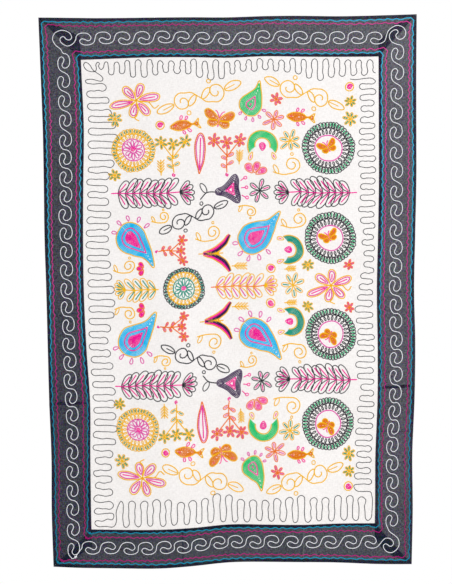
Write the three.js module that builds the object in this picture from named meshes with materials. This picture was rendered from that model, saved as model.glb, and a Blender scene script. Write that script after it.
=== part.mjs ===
// An embroidered cotton wall hanging, as it hangs by its top edge.
//
// A cream cotton panel is framed by four strips of dark voile. The strips lap over the panel's
// edges and meet in mitres at the corners, where the ends of the two side strips run on as flaps
// behind the top and bottom strips. Each cloth is one closed sheet with the hang, the uneven
// edges and the packing creases of the whole.
//
// Millimetres, +Z up. The embroidered face looks along -Y, and the origin is at the middle of
// the top edge. A place on the cloth is a pair of shares: u across from the left edge to the
// right one, and v down from the top edge to the bottom one.

import * as THREE from 'three';

const { lerp, smoothstep } = THREE.MathUtils;

const WIDTH = 1020; // across the cloth, as cut
const HEIGHT = 1498; // down the cloth, as cut
const PANEL_THICKNESS = 1.6; // cotton with the relief of its chain stitch
const STRIP_THICKNESS = 1.0; // voile with the relief of its chain stitch
const HEM_THICKNESS = 1.5; // voile turned over twice
const GAP = 0.3; // between one cloth and the next
const FLAP_GAP = 0.45; // between a flap and the strip on it, whose facets aren't the same

const HEM = 9; // width of a strip's outer hem
const HEM_SLOPE = 4; // where the hem thins down to the single cloth
const LAP = 9; // how far a strip lies over the panel's edge
const FLAP = 34; // how far a side strip's end runs on behind the mitre
const FLAP_STOP = HEM + HEM_SLOPE + 2; // a flap ends this far inside the outer edge
const LIFT_START = 30; // top and bottom strips lie on the flaps as far as this past the mitre,
const LIFT_END = 75; // and are down on the panel again here

const LINE_SPACING = 62; // the widest space between two grid lines
const CREASE_SPREAD = 11; // from a crease's top to its foot
const CORNER_LINES = 6; // grid lines in the slanted end of a strip
const STRIP_LINES = 3; // grid lines along a strip between its hem and its seam
const CLEAR_ACROSS = { first: 0.125, last: 0.885 }; // shares clear of the side strips
const CLEAR_DOWN = { first: 0.09, last: 0.915 }; // shares clear of the top and bottom strips
const CROSSING_PASSES = 5; // lines bend so little that this settles where two cross

// The outer edges as the cloth hangs: x of the left and right edges `at` a share of the way
// down, and z of the top and bottom edges at a share of the way across.
const EDGES = [
  { at: 0.0, left: -517, right: 517, top: -2, bottom: -1502 },
  { at: 0.1, left: -511, right: 516, top: -3, bottom: -1506 },
  { at: 0.2, left: -505, right: 516, top: -3, bottom: -1508 },
  { at: 0.3, left: -502, right: 516, top: -2, bottom: -1507 },
  { at: 0.4, left: -500, right: 513, top: -1, bottom: -1500 },
  { at: 0.5, left: -495, right: 510, top: -1, bottom: -1491 },
  { at: 0.6, left: -491, right: 513, top: 2, bottom: -1489 },
  { at: 0.7, left: -487, right: 511, top: 3, bottom: -1490 },
  { at: 0.8, left: -481, right: 505, top: 2, bottom: -1492 },
  { at: 0.9, left: -480, right: 506, top: 4, bottom: -1495 },
  { at: 1.0, left: -475, right: 503, top: 7, bottom: -1495 },
];

// How wide each strip is, down or across the cloth.
const STRIPS = [
  { at: 0.0, left: 110, right: 103, top: 114, bottom: 104 },
  { at: 0.1, left: 111, right: 102, top: 114, bottom: 105 },
  { at: 0.2, left: 112, right: 102, top: 110, bottom: 105 },
  { at: 0.3, left: 108, right: 102, top: 108, bottom: 105 },
  { at: 0.4, left: 106, right: 102, top: 109, bottom: 104 },
  { at: 0.5, left: 104, right: 103, top: 111, bottom: 104 },
  { at: 0.6, left: 107, right: 104, top: 110, bottom: 102 },
  { at: 0.7, left: 114, right: 103, top: 112, bottom: 102 },
  { at: 0.8, left: 110, right: 104, top: 111, bottom: 107 },
  { at: 0.9, left: 111, right: 106, top: 112, bottom: 111 },
  { at: 1.0, left: 111, right: 107, top: 112, bottom: 112 },
];

// How far the cloth swings forward from where it is held, at its top edge, half way down and
// at its bottom edge. The four forward swings of the bottom hang below the places it is held at.
const SWINGS = [
  { at: 0.0, top: 0.4, middle: 2.0, bottom: 4.0 },
  { at: 0.06, top: 0.8, middle: 2.6, bottom: 4.4 },
  { at: 0.19, top: -1.0, middle: -1.0, bottom: -1.4 },
  { at: 0.33, top: 0.8, middle: 2.0, bottom: 5.0 },
  { at: 0.47, top: -1.2, middle: -1.5, bottom: -3.5 },
  { at: 0.62, top: 0.8, middle: 1.5, bottom: 4.0 },
  { at: 0.8, top: -1.2, middle: -1.6, bottom: -2.0 },
  { at: 0.95, top: 0.8, middle: 1.6, bottom: 3.4 },
  { at: 1.0, top: 0.6, middle: 1.4, bottom: 3.2 },
];

// Packing creases across the cloth: how far down each is at the left and right edges, and how
// far it stands out there.
const CREASES_ACROSS = [
  { start: 0.172, end: 0.166, startRise: 0.8, endRise: 0.3 },
  { start: 0.516, end: 0.508, startRise: 0.8, endRise: 0.5 },
  { start: 0.706, end: 0.676, startRise: 2.0, endRise: 1.6 },
  { start: 0.79, end: 0.757, startRise: 0.3, endRise: 0.9 },
];

// Packing creases down the cloth: how far across each is at the top and bottom edges.
const CREASES_DOWN = [
  { start: 0.241, end: 0.236, startRise: 0.7, endRise: 0.5 },
  { start: 0.477, end: 0.47, startRise: 0.6, endRise: 0.4 },
  { start: 0.704, end: 0.698, startRise: 0.3, endRise: 0.6 },
];

// A table's column at any place between its rows, on a smooth curve through them.
function read(table, column, at) {
  const last = table.length - 1;
  let row = 0;
  while (row < last - 1 && at > table[row + 1].at) row += 1;
  const slope = (index) => {
    const before = table[Math.max(index - 1, 0)];
    const after = table[Math.min(index + 1, last)];
    return (after[column] - before[column]) / (after.at - before.at);
  };
  const span = table[row + 1].at - table[row].at;
  const t = (at - table[row].at) / span;
  const rest = 1 - t;
  return table[row][column] * rest * rest * (1 + 2 * t)
    + table[row + 1][column] * t * t * (1 + 2 * rest)
    + slope(row) * span * t * rest * rest
    - slope(row + 1) * span * t * t * rest;
}

// How far the creases of one table stand out at a place: `along` runs with the crease and
// `across` over it, and `length` is the cloth's size in that direction.
function creaseRise(creases, along, across, length) {
  let rise = 0;
  for (const crease of creases) {
    const offset = Math.abs(across - lerp(crease.start, crease.end, along)) * length;
    const share = Math.max(0, 1 - offset / CREASE_SPREAD);
    rise += share * lerp(crease.startRise, crease.endRise, along);
  }
  return rise;
}

// How far the cloth's middle surface lies in front of the plane it is held in.
function swing(u, v) {
  const hang = read(SWINGS, 'top', u) * (1 - v) * (1 - 2 * v)
    + read(SWINGS, 'middle', u) * 4 * v * (1 - v)
    + read(SWINGS, 'bottom', u) * v * (2 * v - 1);
  return hang
    + creaseRise(CREASES_ACROSS, u, v, HEIGHT)
    + creaseRise(CREASES_DOWN, v, u, WIDTH);
}

// The point that lies `out` in front of the middle surface at u, v.
function place(u, v, out) {
  const x = lerp(read(EDGES, 'left', v), read(EDGES, 'right', v), u);
  const z = lerp(read(EDGES, 'top', u), read(EDGES, 'bottom', u), v);
  return new THREE.Vector3(x, -swing(u, v) - out, z);
}

// Grid lines. A column is a function of v that gives u, and a row is a function of u that
// gives v, so lines may slant or follow a seam.

function crossing(column, row) {
  let u = 0.5;
  let v = 0.5;
  for (let pass = 0; pass < CROSSING_PASSES; pass += 1) {
    u = column(v);
    v = row(u);
  }
  return { u, v };
}

// The line that lies at one share of the way from one line to another.
function between(first, second, share) {
  return (at) => lerp(first(at), second(at), share);
}

// Lines from one share to another, with three on each crease and evenly spaced ones between.
function creasedLines({ first, last }, creases, length) {
  const foot = CREASE_SPREAD / length;
  const stops = [{ start: first, end: first }];
  for (const crease of creases) {
    for (const side of [-foot, 0, foot]) {
      stops.push({ start: crease.start + side, end: crease.end + side });
    }
  }
  stops.push({ start: last, end: last });

  const lines = [() => first];
  for (let index = 1; index < stops.length; index += 1) {
    const before = stops[index - 1];
    const after = stops[index];
    const widest = Math.max(after.start - before.start, after.end - before.end) * length;
    const parts = Math.ceil(widest / LINE_SPACING);
    for (let part = 1; part <= parts; part += 1) {
      const start = lerp(before.start, after.start, part / parts);
      const end = lerp(before.end, after.end, part / parts);
      lines.push((at) => lerp(start, end, at));
    }
  }
  return lines;
}

const SEAMS = {
  left: (v) => read(STRIPS, 'left', v) / WIDTH,
  right: (v) => 1 - read(STRIPS, 'right', v) / WIDTH,
  top: (u) => read(STRIPS, 'top', u) / HEIGHT,
  bottom: (u) => 1 - read(STRIPS, 'bottom', u) / HEIGHT,
};
const SHARED_COLUMNS = creasedLines(CLEAR_ACROSS, CREASES_DOWN, WIDTH);
const SHARED_ROWS = creasedLines(CLEAR_DOWN, CREASES_ACROSS, HEIGHT);

// A closed sheet on the grid of columns and rows. `front` gives how far its front lies in front
// of the middle surface at a place, and `thickness` how thick it is there.
function sheet(columns, rows, front, thickness) {
  const points = [];
  for (const isBack of [false, true]) {
    for (const column of columns) {
      for (const row of rows) {
        const { u, v } = crossing(column, row);
        const out = front(u) - (isBack ? thickness(u, v) : 0);
        points.push(place(u, v, out));
      }
    }
  }

  const count = columns.length * rows.length;
  const point = (column, row) => column * rows.length + row;
  const faces = [];
  const quad = (a, b, c, d) => faces.push(a, b, c, a, c, d);
  for (let i = 0; i + 1 < columns.length; i += 1) {
    for (let j = 0; j + 1 < rows.length; j += 1) {
      const corners = [point(i, j), point(i, j + 1), point(i + 1, j + 1), point(i + 1, j)];
      quad(...corners);
      quad(...corners.reverse().map((corner) => corner + count));
    }
  }

  // The edge all round, down the left side, along the bottom, up the right and back.
  const rim = [];
  for (let j = 0; j < rows.length - 1; j += 1) rim.push(point(0, j));
  for (let i = 0; i < columns.length - 1; i += 1) rim.push(point(i, rows.length - 1));
  for (let j = rows.length - 1; j > 0; j -= 1) rim.push(point(columns.length - 1, j));
  for (let i = columns.length - 1; i > 0; i -= 1) rim.push(point(i, 0));
  rim.forEach((here, index) => {
    const next = rim[(index + 1) % rim.length];
    quad(here, here + count, next + count, next);
  });

  const geometry = new THREE.BufferGeometry().setFromPoints(points);
  geometry.setIndex(faces);
  geometry.computeVertexNormals();
  return geometry;
}

// The lines along a strip, from its outer edge in: the edge, the hem, the foot of the hem's
// slope, those in the cloth, the panel's edge behind it, and the seam. `sign` is 1 where shares
// grow inwards and -1 where they grow outwards.
function stripLines(seam, length, sign) {
  const edge = sign > 0 ? 0 : 1;
  const inset = (distance) => () => edge + (sign * distance) / length;
  const lapLine = (at) => seam(at) - (sign * LAP) / length;
  const hemFoot = inset(HEM + HEM_SLOPE);
  const lines = [inset(0), inset(HEM), hemFoot];
  for (let step = 1; step <= STRIP_LINES; step += 1) {
    lines.push(between(hemFoot, lapLine, step / (STRIP_LINES + 1)));
  }
  lines.push(lapLine, seam);
  return sign > 0 ? lines : lines.reverse();
}

// A strip's thickness: that of the hem at the outer edge, where `share` is 0 or 1.
function stripThickness(share, length) {
  const inset = Math.min(share, 1 - share) * length;
  return lerp(HEM_THICKNESS, STRIP_THICKNESS, smoothstep(inset, HEM, HEM + HEM_SLOPE));
}

const CORNERS = {
  top: { left: crossing(SEAMS.left, SEAMS.top), right: crossing(SEAMS.right, SEAMS.top) },
  bottom: {
    left: crossing(SEAMS.left, SEAMS.bottom),
    right: crossing(SEAMS.right, SEAMS.bottom),
  },
};

// A share counted inwards from the near edge (0) or from the far one (1).
const insetShare = (share, isFar) => (isFar ? 1 - share : share);

// The mitre at one corner: the inset down from the top or bottom edge at an inset across.
function mitreDepth(corner, isRight, isBottom, u) {
  const across = insetShare(u, isRight) / insetShare(corner.u, isRight);
  return across * insetShare(corner.v, isBottom) * HEIGHT;
}

// The row where a side strip ends: on the mitre near the outer edge, and past it, as a flap
// behind the top or bottom strip, further in.
function sideStripEnd(corner, isRight, isBottom) {
  return (u) => {
    const mitre = mitreDepth(corner, isRight, isBottom, u);
    const end = Math.min(mitre + GAP, Math.max(mitre - FLAP, FLAP_STOP));
    return insetShare(end / HEIGHT, isBottom);
  };
}

// The column where a top or bottom strip ends, on the mitre.
function levelStripEnd(corner, isRight, isBottom) {
  const across = insetShare(corner.u, isRight) / insetShare(corner.v, isBottom);
  return (v) => insetShare(insetShare(v, isBottom) * across, isRight);
}

// A strip's lines along it, from one slanted end to the other, with the shared ones between.
function withEnds(startLine, sharedLines, endLine) {
  const lines = [...sharedLines];
  for (let step = 1; step <= CORNER_LINES; step += 1) {
    lines.unshift(between(sharedLines[0], startLine, step / CORNER_LINES));
    lines.push(between(sharedLines[sharedLines.length - 1], endLine, step / CORNER_LINES));
  }
  return lines;
}

const PANEL_FRONT = PANEL_THICKNESS / 2;
const STRIP_FRONT = PANEL_FRONT + GAP + STRIP_THICKNESS;

function panelGeometry() {
  const inset = (seam, distance) => (at) => seam(at) + distance;
  const columns = [
    inset(SEAMS.left, -LAP / WIDTH),
    inset(SEAMS.left, LAP / WIDTH),
    ...SHARED_COLUMNS,
    inset(SEAMS.right, -LAP / WIDTH),
    inset(SEAMS.right, LAP / WIDTH),
  ];
  const rows = [
    inset(SEAMS.top, -LAP / HEIGHT),
    inset(SEAMS.top, LAP / HEIGHT),
    ...SHARED_ROWS,
    inset(SEAMS.bottom, -LAP / HEIGHT),
    inset(SEAMS.bottom, LAP / HEIGHT),
  ];
  return sheet(columns, rows, () => PANEL_FRONT, () => PANEL_THICKNESS);
}

// A side strip lies flat all the way.
function sideStripGeometry(side) {
  const isRight = side === 'right';
  const columns = stripLines(SEAMS[side], WIDTH, isRight ? -1 : 1);
  const rows = withEnds(
    sideStripEnd(CORNERS.top[side], isRight, false),
    SHARED_ROWS,
    sideStripEnd(CORNERS.bottom[side], isRight, true),
  );
  return sheet(columns, rows, () => STRIP_FRONT, (u) => stripThickness(u, WIDTH));
}

// A top or bottom strip is lifted at both ends by the thickness of the flap it lies on.
function levelStripGeometry(level) {
  const isBottom = level === 'bottom';
  const { left, right } = CORNERS[level];
  const columns = withEnds(
    levelStripEnd(left, false, isBottom),
    SHARED_COLUMNS,
    levelStripEnd(right, true, isBottom),
  );
  const rows = stripLines(SEAMS[level], HEIGHT, isBottom ? -1 : 1);
  const front = (u) => {
    const pastMitre = Math.min(u - left.u, right.u - u) * WIDTH;
    const lift = 1 - smoothstep(pastMitre, LIFT_START, LIFT_END);
    return STRIP_FRONT + lift * (STRIP_THICKNESS + FLAP_GAP);
  };
  return sheet(columns, rows, front, (u, v) => stripThickness(v, HEIGHT));
}

const CREAM_COTTON = new THREE.MeshStandardMaterial({
  color: '#f4f1ea',
  roughness: 0.9,
  metalness: 0,
});
const DARK_VOILE = new THREE.MeshStandardMaterial({
  color: '#3a3848',
  roughness: 0.85,
  metalness: 0,
});

function piece(name, geometry, material) {
  const mesh = new THREE.Mesh(geometry, material);
  mesh.name = name;
  return mesh;
}

const hanging = new THREE.Group();
hanging.name = 'wall_hanging';
hanging.add(piece('panel', panelGeometry(), CREAM_COTTON));
hanging.add(piece('strip_top', levelStripGeometry('top'), DARK_VOILE));
hanging.add(piece('strip_bottom', levelStripGeometry('bottom'), DARK_VOILE));
hanging.add(piece('strip_left', sideStripGeometry('left'), DARK_VOILE));
hanging.add(piece('strip_right', sideStripGeometry('right'), DARK_VOILE));

export default hanging;
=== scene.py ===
"""An embroidered cotton wall hanging: a cream cotton panel worked in chain stitch, in a frame of four
mitred strips of dark sheer voile.

The hanging is sewn here as it is made. Places on the cloth are given as if it lay flat, in millimetres
right of its middle and up from its top edge, and on_cloth() says where each hangs. The embroidery is a
list of lines of thread in those flat millimetres, and every line becomes a row of chain stitches that
stand up from the cloth, with the thread's short back stitches behind it.
"""

import math
from collections import namedtuple

import bpy
import numpy as np
from bpy.props import FloatProperty, FloatVectorProperty, PointerProperty
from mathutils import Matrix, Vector


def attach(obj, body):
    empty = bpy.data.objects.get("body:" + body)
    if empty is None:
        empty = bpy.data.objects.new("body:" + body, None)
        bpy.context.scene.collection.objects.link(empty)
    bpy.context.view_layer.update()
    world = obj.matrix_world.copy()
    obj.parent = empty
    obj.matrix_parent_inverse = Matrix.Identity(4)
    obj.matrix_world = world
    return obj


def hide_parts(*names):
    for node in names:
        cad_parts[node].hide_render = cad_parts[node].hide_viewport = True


bl_info = {
    "name": "Embroidered Wall Hanging",
    "version": (1, 0, 0),
    "blender": (4, 5, 0),
    "location": "View3D > Sidebar > Hanging",
    "description": "Sews an embroidered cotton wall hanging with a mitred voile border",
    "category": "Add Mesh",
}

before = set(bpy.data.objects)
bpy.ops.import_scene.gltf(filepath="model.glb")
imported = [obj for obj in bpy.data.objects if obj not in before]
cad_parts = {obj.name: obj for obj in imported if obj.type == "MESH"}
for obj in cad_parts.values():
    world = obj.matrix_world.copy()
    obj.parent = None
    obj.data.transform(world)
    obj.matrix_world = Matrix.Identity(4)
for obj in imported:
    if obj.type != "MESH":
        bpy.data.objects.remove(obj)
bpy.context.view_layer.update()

MM = 0.001  # metres in a millimetre
TINY = 1e-9  # added where a length may be nothing, before something is divided by it


def linear(colour, alpha=1.0):
    """An sRGB hex colour as the linear red, green, blue and alpha that a shader takes."""
    values = [int(colour[start:start + 2], 16) / 255 for start in (1, 3, 5)]
    return [v / 12.92 if v <= 0.04045 else ((v + 0.055) / 1.055) ** 2.4 for v in values] + [alpha]


# --- The cloth as it hangs ------------------------------------------------------------------------

CLOTH_WIDTH = 1020.0
CLOTH_HEIGHT = 1498.0
HALF_WIDTH = CLOTH_WIDTH / 2
STRIP_WIDTH = 110.0  # about how wide a strip is
LAP = 9.0  # how far the panel runs on behind a strip
HEM = 9.0  # width of a strip's outer hem
TURNING = 7.0  # width of the turned-under edge of a strip at its seam

# Heights above the middle of the panel, of the middle of each layer.
PANEL_HALF = 0.2  # half the panel's thickness
VOILE_HALF = 0.1  # half the voile's thickness
TURNED_OUT = 0.5  # the turned-under edges of a side strip
FACE_OUT = 0.9  # the face of a side strip
FLAP_LIFT = 0.65  # a top or bottom strip lies this much higher where it covers a flap
LIFT_START, LIFT_END = 2.0, 22.0  # mm past the flap's end over which it comes down again

LEFT, RIGHT, TOP, BOTTOM = 1, 2, 3, 4  # the four sides, and their columns in EDGES and STRIPS
LENGTHS = {LEFT: CLOTH_HEIGHT, RIGHT: CLOTH_HEIGHT, TOP: CLOTH_WIDTH, BOTTOM: CLOTH_WIDTH}

# The outer edges as they hang: a share of the way along, then x of the left and right edges at that
# share of the way down, and z of the top and bottom edges at that share of the way across.
EDGES = np.array([
    (0.0, -517, 517, -2, -1502),
    (0.1, -511, 516, -3, -1506),
    (0.2, -505, 516, -3, -1508),
    (0.3, -502, 516, -2, -1507),
    (0.4, -500, 513, -1, -1500),
    (0.5, -495, 510, -1, -1491),
    (0.6, -491, 513, 2, -1489),
    (0.7, -487, 511, 3, -1490),
    (0.8, -481, 505, 2, -1492),
    (0.9, -480, 506, 4, -1495),
    (1.0, -475, 503, 7, -1495),
])

# How wide each strip is at a share of the way along it.
STRIPS = np.array([
    (0.0, 110, 103, 114, 104),
    (0.1, 111, 102, 114, 105),
    (0.2, 112, 102, 110, 105),
    (0.3, 108, 102, 108, 105),
    (0.4, 106, 102, 109, 104),
    (0.5, 104, 103, 111, 104),
    (0.6, 107, 104, 110, 102),
    (0.7, 114, 103, 112, 102),
    (0.8, 110, 104, 111, 107),
    (0.9, 111, 106, 112, 111),
    (1.0, 111, 107, 112, 112),
])

# How far the cloth swings forward at a share of the way across: at its top edge, half way down and
# at its bottom edge.
SWINGS = np.array([
    (0.0, 0.4, 2.0, 4.0),
    (0.06, 0.8, 2.6, 4.4),
    (0.19, -1.0, -1.0, -1.4),
    (0.33, 0.8, 2.0, 5.0),
    (0.47, -1.2, -1.5, -3.5),
    (0.62, 0.8, 1.5, 4.0),
    (0.8, -1.2, -1.6, -2.0),
    (0.95, 0.8, 1.6, 3.4),
    (1.0, 0.6, 1.4, 3.2),
])

# Packing creases: the share at which each starts and ends, and how far it stands out there.
CREASES_ACROSS = (
    (0.172, 0.166, 0.8, 0.3),
    (0.516, 0.508, 0.8, 0.5),
    (0.706, 0.676, 2.0, 1.6),
    (0.79, 0.757, 0.3, 0.9),
)
CREASES_DOWN = (
    (0.241, 0.236, 0.7, 0.5),
    (0.477, 0.470, 0.6, 0.4),
    (0.704, 0.698, 0.3, 0.6),
)
CREASE_SPREAD = 11.0  # from a crease's top to its foot
CREASE_TOP = 0.9  # how round its top is

# A tuck that was pressed across each side strip: how far down its middle lies at the strip's outer edge
# and at its seam, and the way of the cloth through it, as mm down from there and mm forward.
TUCKS = {LEFT: (1053.0, 1048.0), RIGHT: (1012.0, 1017.0)}
TUCK_PATH = np.array([
    (-10, 0), (-5, 0), (0, 0), (3.4, 0), (4, -0.1), (4.1, -0.22), (4, -0.35), (3.4, -0.45), (-3.4, -0.45),
    (-4, -0.55), (-4.1, -0.67), (-4, -0.8), (-3.4, -0.9), (0, -0.9), (4, -0.9), (8, -0.7), (13, -0.2),
    (18, 0),
])
TUCK_CLEAR = (14.0, 24.0)  # mm above and below its middle that have no other stations
TUCK_ENDS = ((0.10, 0.17), (0.94, 0.87))  # shares of the strip's width over which it opens out


def read(table, column, at):
    """A table's column at any share, on a smooth curve through its rows."""
    stations, values = table[:, 0], table[:, column]
    slopes = np.empty(len(values))
    slopes[1:-1] = (values[2:] - values[:-2]) / (stations[2:] - stations[:-2])
    slopes[0] = (values[1] - values[0]) / (stations[1] - stations[0])
    slopes[-1] = (values[-1] - values[-2]) / (stations[-1] - stations[-2])
    row = np.clip(np.searchsorted(stations, at, side="right") - 1, 0, len(stations) - 2)
    span = stations[row + 1] - stations[row]
    t = (at - stations[row]) / span
    rest = 1 - t
    return (values[row] * rest * rest * (1 + 2 * t) + values[row + 1] * t * t * (1 + 2 * rest)
            + slopes[row] * span * t * rest * rest - slopes[row + 1] * span * t * t * rest)


def between(values, share):
    """The value at a share of the way along a row of evenly spaced ones."""
    return np.interp(share, np.linspace(0, 1, len(values)), values)


def smoothstep(value, start, end):
    """From 0 at the start to 1 at the end, level at both."""
    share = np.clip((value - start) / (end - start), 0, 1)
    return share * share * (3 - 2 * share)


def crease_rise(creases, along, across, length):
    """How far the creases of one table stand out where `along` runs with them and `across` over them."""
    rise = 0
    for start, end, start_rise, end_rise in creases:
        offset = (across - start - (end - start) * along) * length
        rounded = np.sqrt(offset ** 2 + CREASE_TOP ** 2) - CREASE_TOP
        share = np.clip(1 - rounded / CREASE_SPREAD, 0, 1)
        rise = rise + share ** 1.5 * (start_rise + (end_rise - start_rise) * along)
    return rise


PUCKER_LENGTHS = (190, 150, 118, 96, 78, 64, 52, 43, 36, 30)  # of the small waves of worked cloth
PUCKER_HEIGHT = 0.0016  # in lengths of the wave


def pucker_waves():
    """Wave numbers across and up, phase and height of the small uneven waves of worked cloth."""
    chance = np.random.default_rng(11)
    waves = []
    for length in PUCKER_LENGTHS:
        heading = chance.uniform(0, math.pi)
        number = 2 * math.pi / length
        height = PUCKER_HEIGHT * length * chance.uniform(0.7, 1.3)
        phase = chance.uniform(0, 6.28)
        waves.append((number * math.cos(heading), number * math.sin(heading), phase, height))
    return waves


PUCKERS = pucker_waves()
SEAM_RIPPLE = 0.35  # height of the ripples that a seam's thread draws up beside it
SEAM_RIPPLE_REACH = 16.0  # how far from the seam they die away
SEAM_RIPPLE_TURN = 0.29  # how far, in radians, a ripple goes on in a mm of seam
SEAM_RIPPLE_DRIFT = 2.1  # how far the ripples drift from even spacing, in radians
SEAM_RIPPLE_DRIFT_TURN = 0.023  # how far that drift goes on in a mm of seam
SEAM_PHASES = (0.7, 2.9, 4.4, 1.3)  # where the ripples of the left, right, top and bottom seam start


def seam_insets(u, v):
    """How far a place lies inside each seam, for the left, right, top and bottom one."""
    x, z = (u - 0.5) * CLOTH_WIDTH, -v * CLOTH_HEIGHT
    return (
        x + HALF_WIDTH - read(STRIPS, LEFT, v),
        HALF_WIDTH - x - read(STRIPS, RIGHT, v),
        -z - read(STRIPS, TOP, u),
        CLOTH_HEIGHT + z - read(STRIPS, BOTTOM, u),
    )


def relief(x, z, u, v):
    """The small waves of the cloth, in millimetres."""
    rise = 0
    for across, up, phase, height in PUCKERS:
        rise = rise + height * np.sin(x * across + z * up + phase)
    for inset, along, phase in zip(seam_insets(u, v), (z, z, x, x), SEAM_PHASES):
        drift = SEAM_RIPPLE_DRIFT * np.sin(along * SEAM_RIPPLE_DRIFT_TURN + phase)
        ripple = np.sin(along * SEAM_RIPPLE_TURN + drift + phase)
        rise = rise + SEAM_RIPPLE * ripple * np.exp(-(inset / SEAM_RIPPLE_REACH) ** 2)
    return rise


def on_cloth(x, z, out):
    """Where a place on the flat cloth hangs, in metres, `out` mm in front of its middle surface."""
    u = 0.5 + x / CLOTH_WIDTH
    v = -z / CLOTH_HEIGHT
    left, right = read(EDGES, LEFT, v), read(EDGES, RIGHT, v)
    top, bottom = read(EDGES, TOP, u), read(EDGES, BOTTOM, u)
    swing = (read(SWINGS, 1, u) * (1 - v) * (1 - 2 * v) + read(SWINGS, 2, u) * 4 * v * (1 - v)
             + read(SWINGS, 3, u) * v * (2 * v - 1))
    swing = swing + crease_rise(CREASES_ACROSS, u, v, CLOTH_HEIGHT)
    swing = swing + crease_rise(CREASES_DOWN, v, u, CLOTH_WIDTH)
    forward = swing + relief(x, z, u, v) + out
    return np.stack([left + (right - left) * u, -forward, top + (bottom - top) * v], axis=-1) * MM


PASSES = 5  # these bring a place and the strip's width there into step


def corner(side, level):
    """The inner corner of the border where a side and a level seam cross: mm in from both edges."""
    across, down = STRIP_WIDTH, STRIP_WIDTH
    for _ in range(PASSES):
        u = across / CLOTH_WIDTH if side == LEFT else 1 - across / CLOTH_WIDTH
        v = down / CLOTH_HEIGHT if level == TOP else 1 - down / CLOTH_HEIGHT
        across, down = float(read(STRIPS, side, v)), float(read(STRIPS, level, u))
    return across, down


CORNERS = {(side, level): corner(side, level) for side in (LEFT, RIGHT) for level in (TOP, BOTTOM)}


def seam_ends(side):
    """How far in from the two ends of a side its seam starts and ends."""
    if side in (TOP, BOTTOM):
        return CORNERS[LEFT, side][0], CORNERS[RIGHT, side][0]
    return CORNERS[side, TOP][1], CORNERS[side, BOTTOM][1]


def from_edge(side, along, inset):
    """A place on the flat cloth, mm right or down along a side and mm in from its outer edge."""
    if side in (TOP, BOTTOM):
        return along - HALF_WIDTH, -inset if side == TOP else inset - CLOTH_HEIGHT
    return inset - HALF_WIDTH if side == LEFT else HALF_WIDTH - inset, -along


def from_corner(side, level, points):
    """Points in mm in from a side edge and a level edge, as places on the flat cloth."""
    across, down = np.array(points, dtype=float).T
    return np.column_stack([from_edge(side, down, across)[0], from_edge(level, across, down)[1]])


# A side strip runs on behind the top or bottom strip as a flap that was cut off roughly by eye. Its
# cut, as mm in from the side edge and from the top or bottom edge.
FLAP_CUTS = {
    (LEFT, TOP): ((8, 8), (44, 18), (90, 40), (109, 52)),
    (RIGHT, TOP): ((8, 9), (40, 19), (64, 28), (102, 72)),
    (LEFT, BOTTOM): ((8, 8), (40, 19), (74, 34), (105, 57)),
    (RIGHT, BOTTOM): ((8, 8), (24, 13), (52, 21), (83, 40), (108, 70)),
}


def flap_end(side, level, across):
    """How far in from a level edge a side strip's flap ends, at a distance in from the side edge."""
    insets, ends = np.array(FLAP_CUTS[side, level], dtype=float).T
    return np.interp(across, insets, ends)


MITRE_STEP = (-1.0, 1.5)  # mm past a mitre over which a stitch climbs onto the strip that lies above
SEAM_SLACK = 1.0  # mm past a seam where a stitch still lies on the strip


def strip_faces(x, z):
    """The heights of the face and of the reverse of the strip at a place in the border."""
    down = np.minimum(-z, CLOTH_HEIGHT + z)
    across = np.minimum(HALF_WIDTH + x, HALF_WIDTH - x)
    face = np.zeros(np.shape(x))
    reverse = np.zeros(np.shape(x))
    for (side, level), (corner_across, corner_down) in CORNERS.items():
        here = ((x < 0) == (side == LEFT)) & ((z > -CLOTH_HEIGHT / 2) == (level == TOP))
        past_mitre = across - down * corner_across / corner_down
        on_level = smoothstep(past_mitre, *MITRE_STEP) * (down < corner_down + SEAM_SLACK)
        lift = FLAP_LIFT * on_level * (1 - smoothstep(across - corner_across, LIFT_START, LIFT_END))
        over_flap = (across < corner_across + SEAM_SLACK) & (down > flap_end(side, level, across))
        face = np.where(here, FACE_OUT + VOILE_HALF + lift, face)
        reverse = np.where(here, FACE_OUT - VOILE_HALF + np.where(over_flap, 0, lift), reverse)
    u, v = 0.5 + x / CLOTH_WIDTH, -z / CLOTH_HEIGHT
    inside = np.min(seam_insets(u, v), axis=0)
    return face, np.where(inside > -LAP, -PANEL_HALF, reverse)


def panel_faces(x, z):
    """The heights of the face and of the reverse of the panel, which are the same all over it."""
    return np.full(np.shape(x), PANEL_HALF), np.full(np.shape(x), -PANEL_HALF)


# --- Cloth pieces ---------------------------------------------------------------------------------

def finished(name, mesh, materials):
    """A new piece of the hanging with smooth faces, which rides with it."""
    for material in materials:
        mesh.materials.append(material)
    mesh.polygons.foreach_set("use_smooth", [True] * len(mesh.polygons))
    piece = bpy.data.objects.new(name, mesh)
    bpy.context.scene.collection.objects.link(piece)
    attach(piece, "root")
    return piece


CLOTH_MAP = "cloth"  # places on the flat cloth in metres, for the weave
BAKE_MAP = "OFBake"  # a map with a place of its own for every face, for a baked copy
FACE_SIDE, EDGES_SIDE, REVERSE_SIDE = 0.485, (0.489, 0.503), 0.51  # shares of that map across


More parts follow.
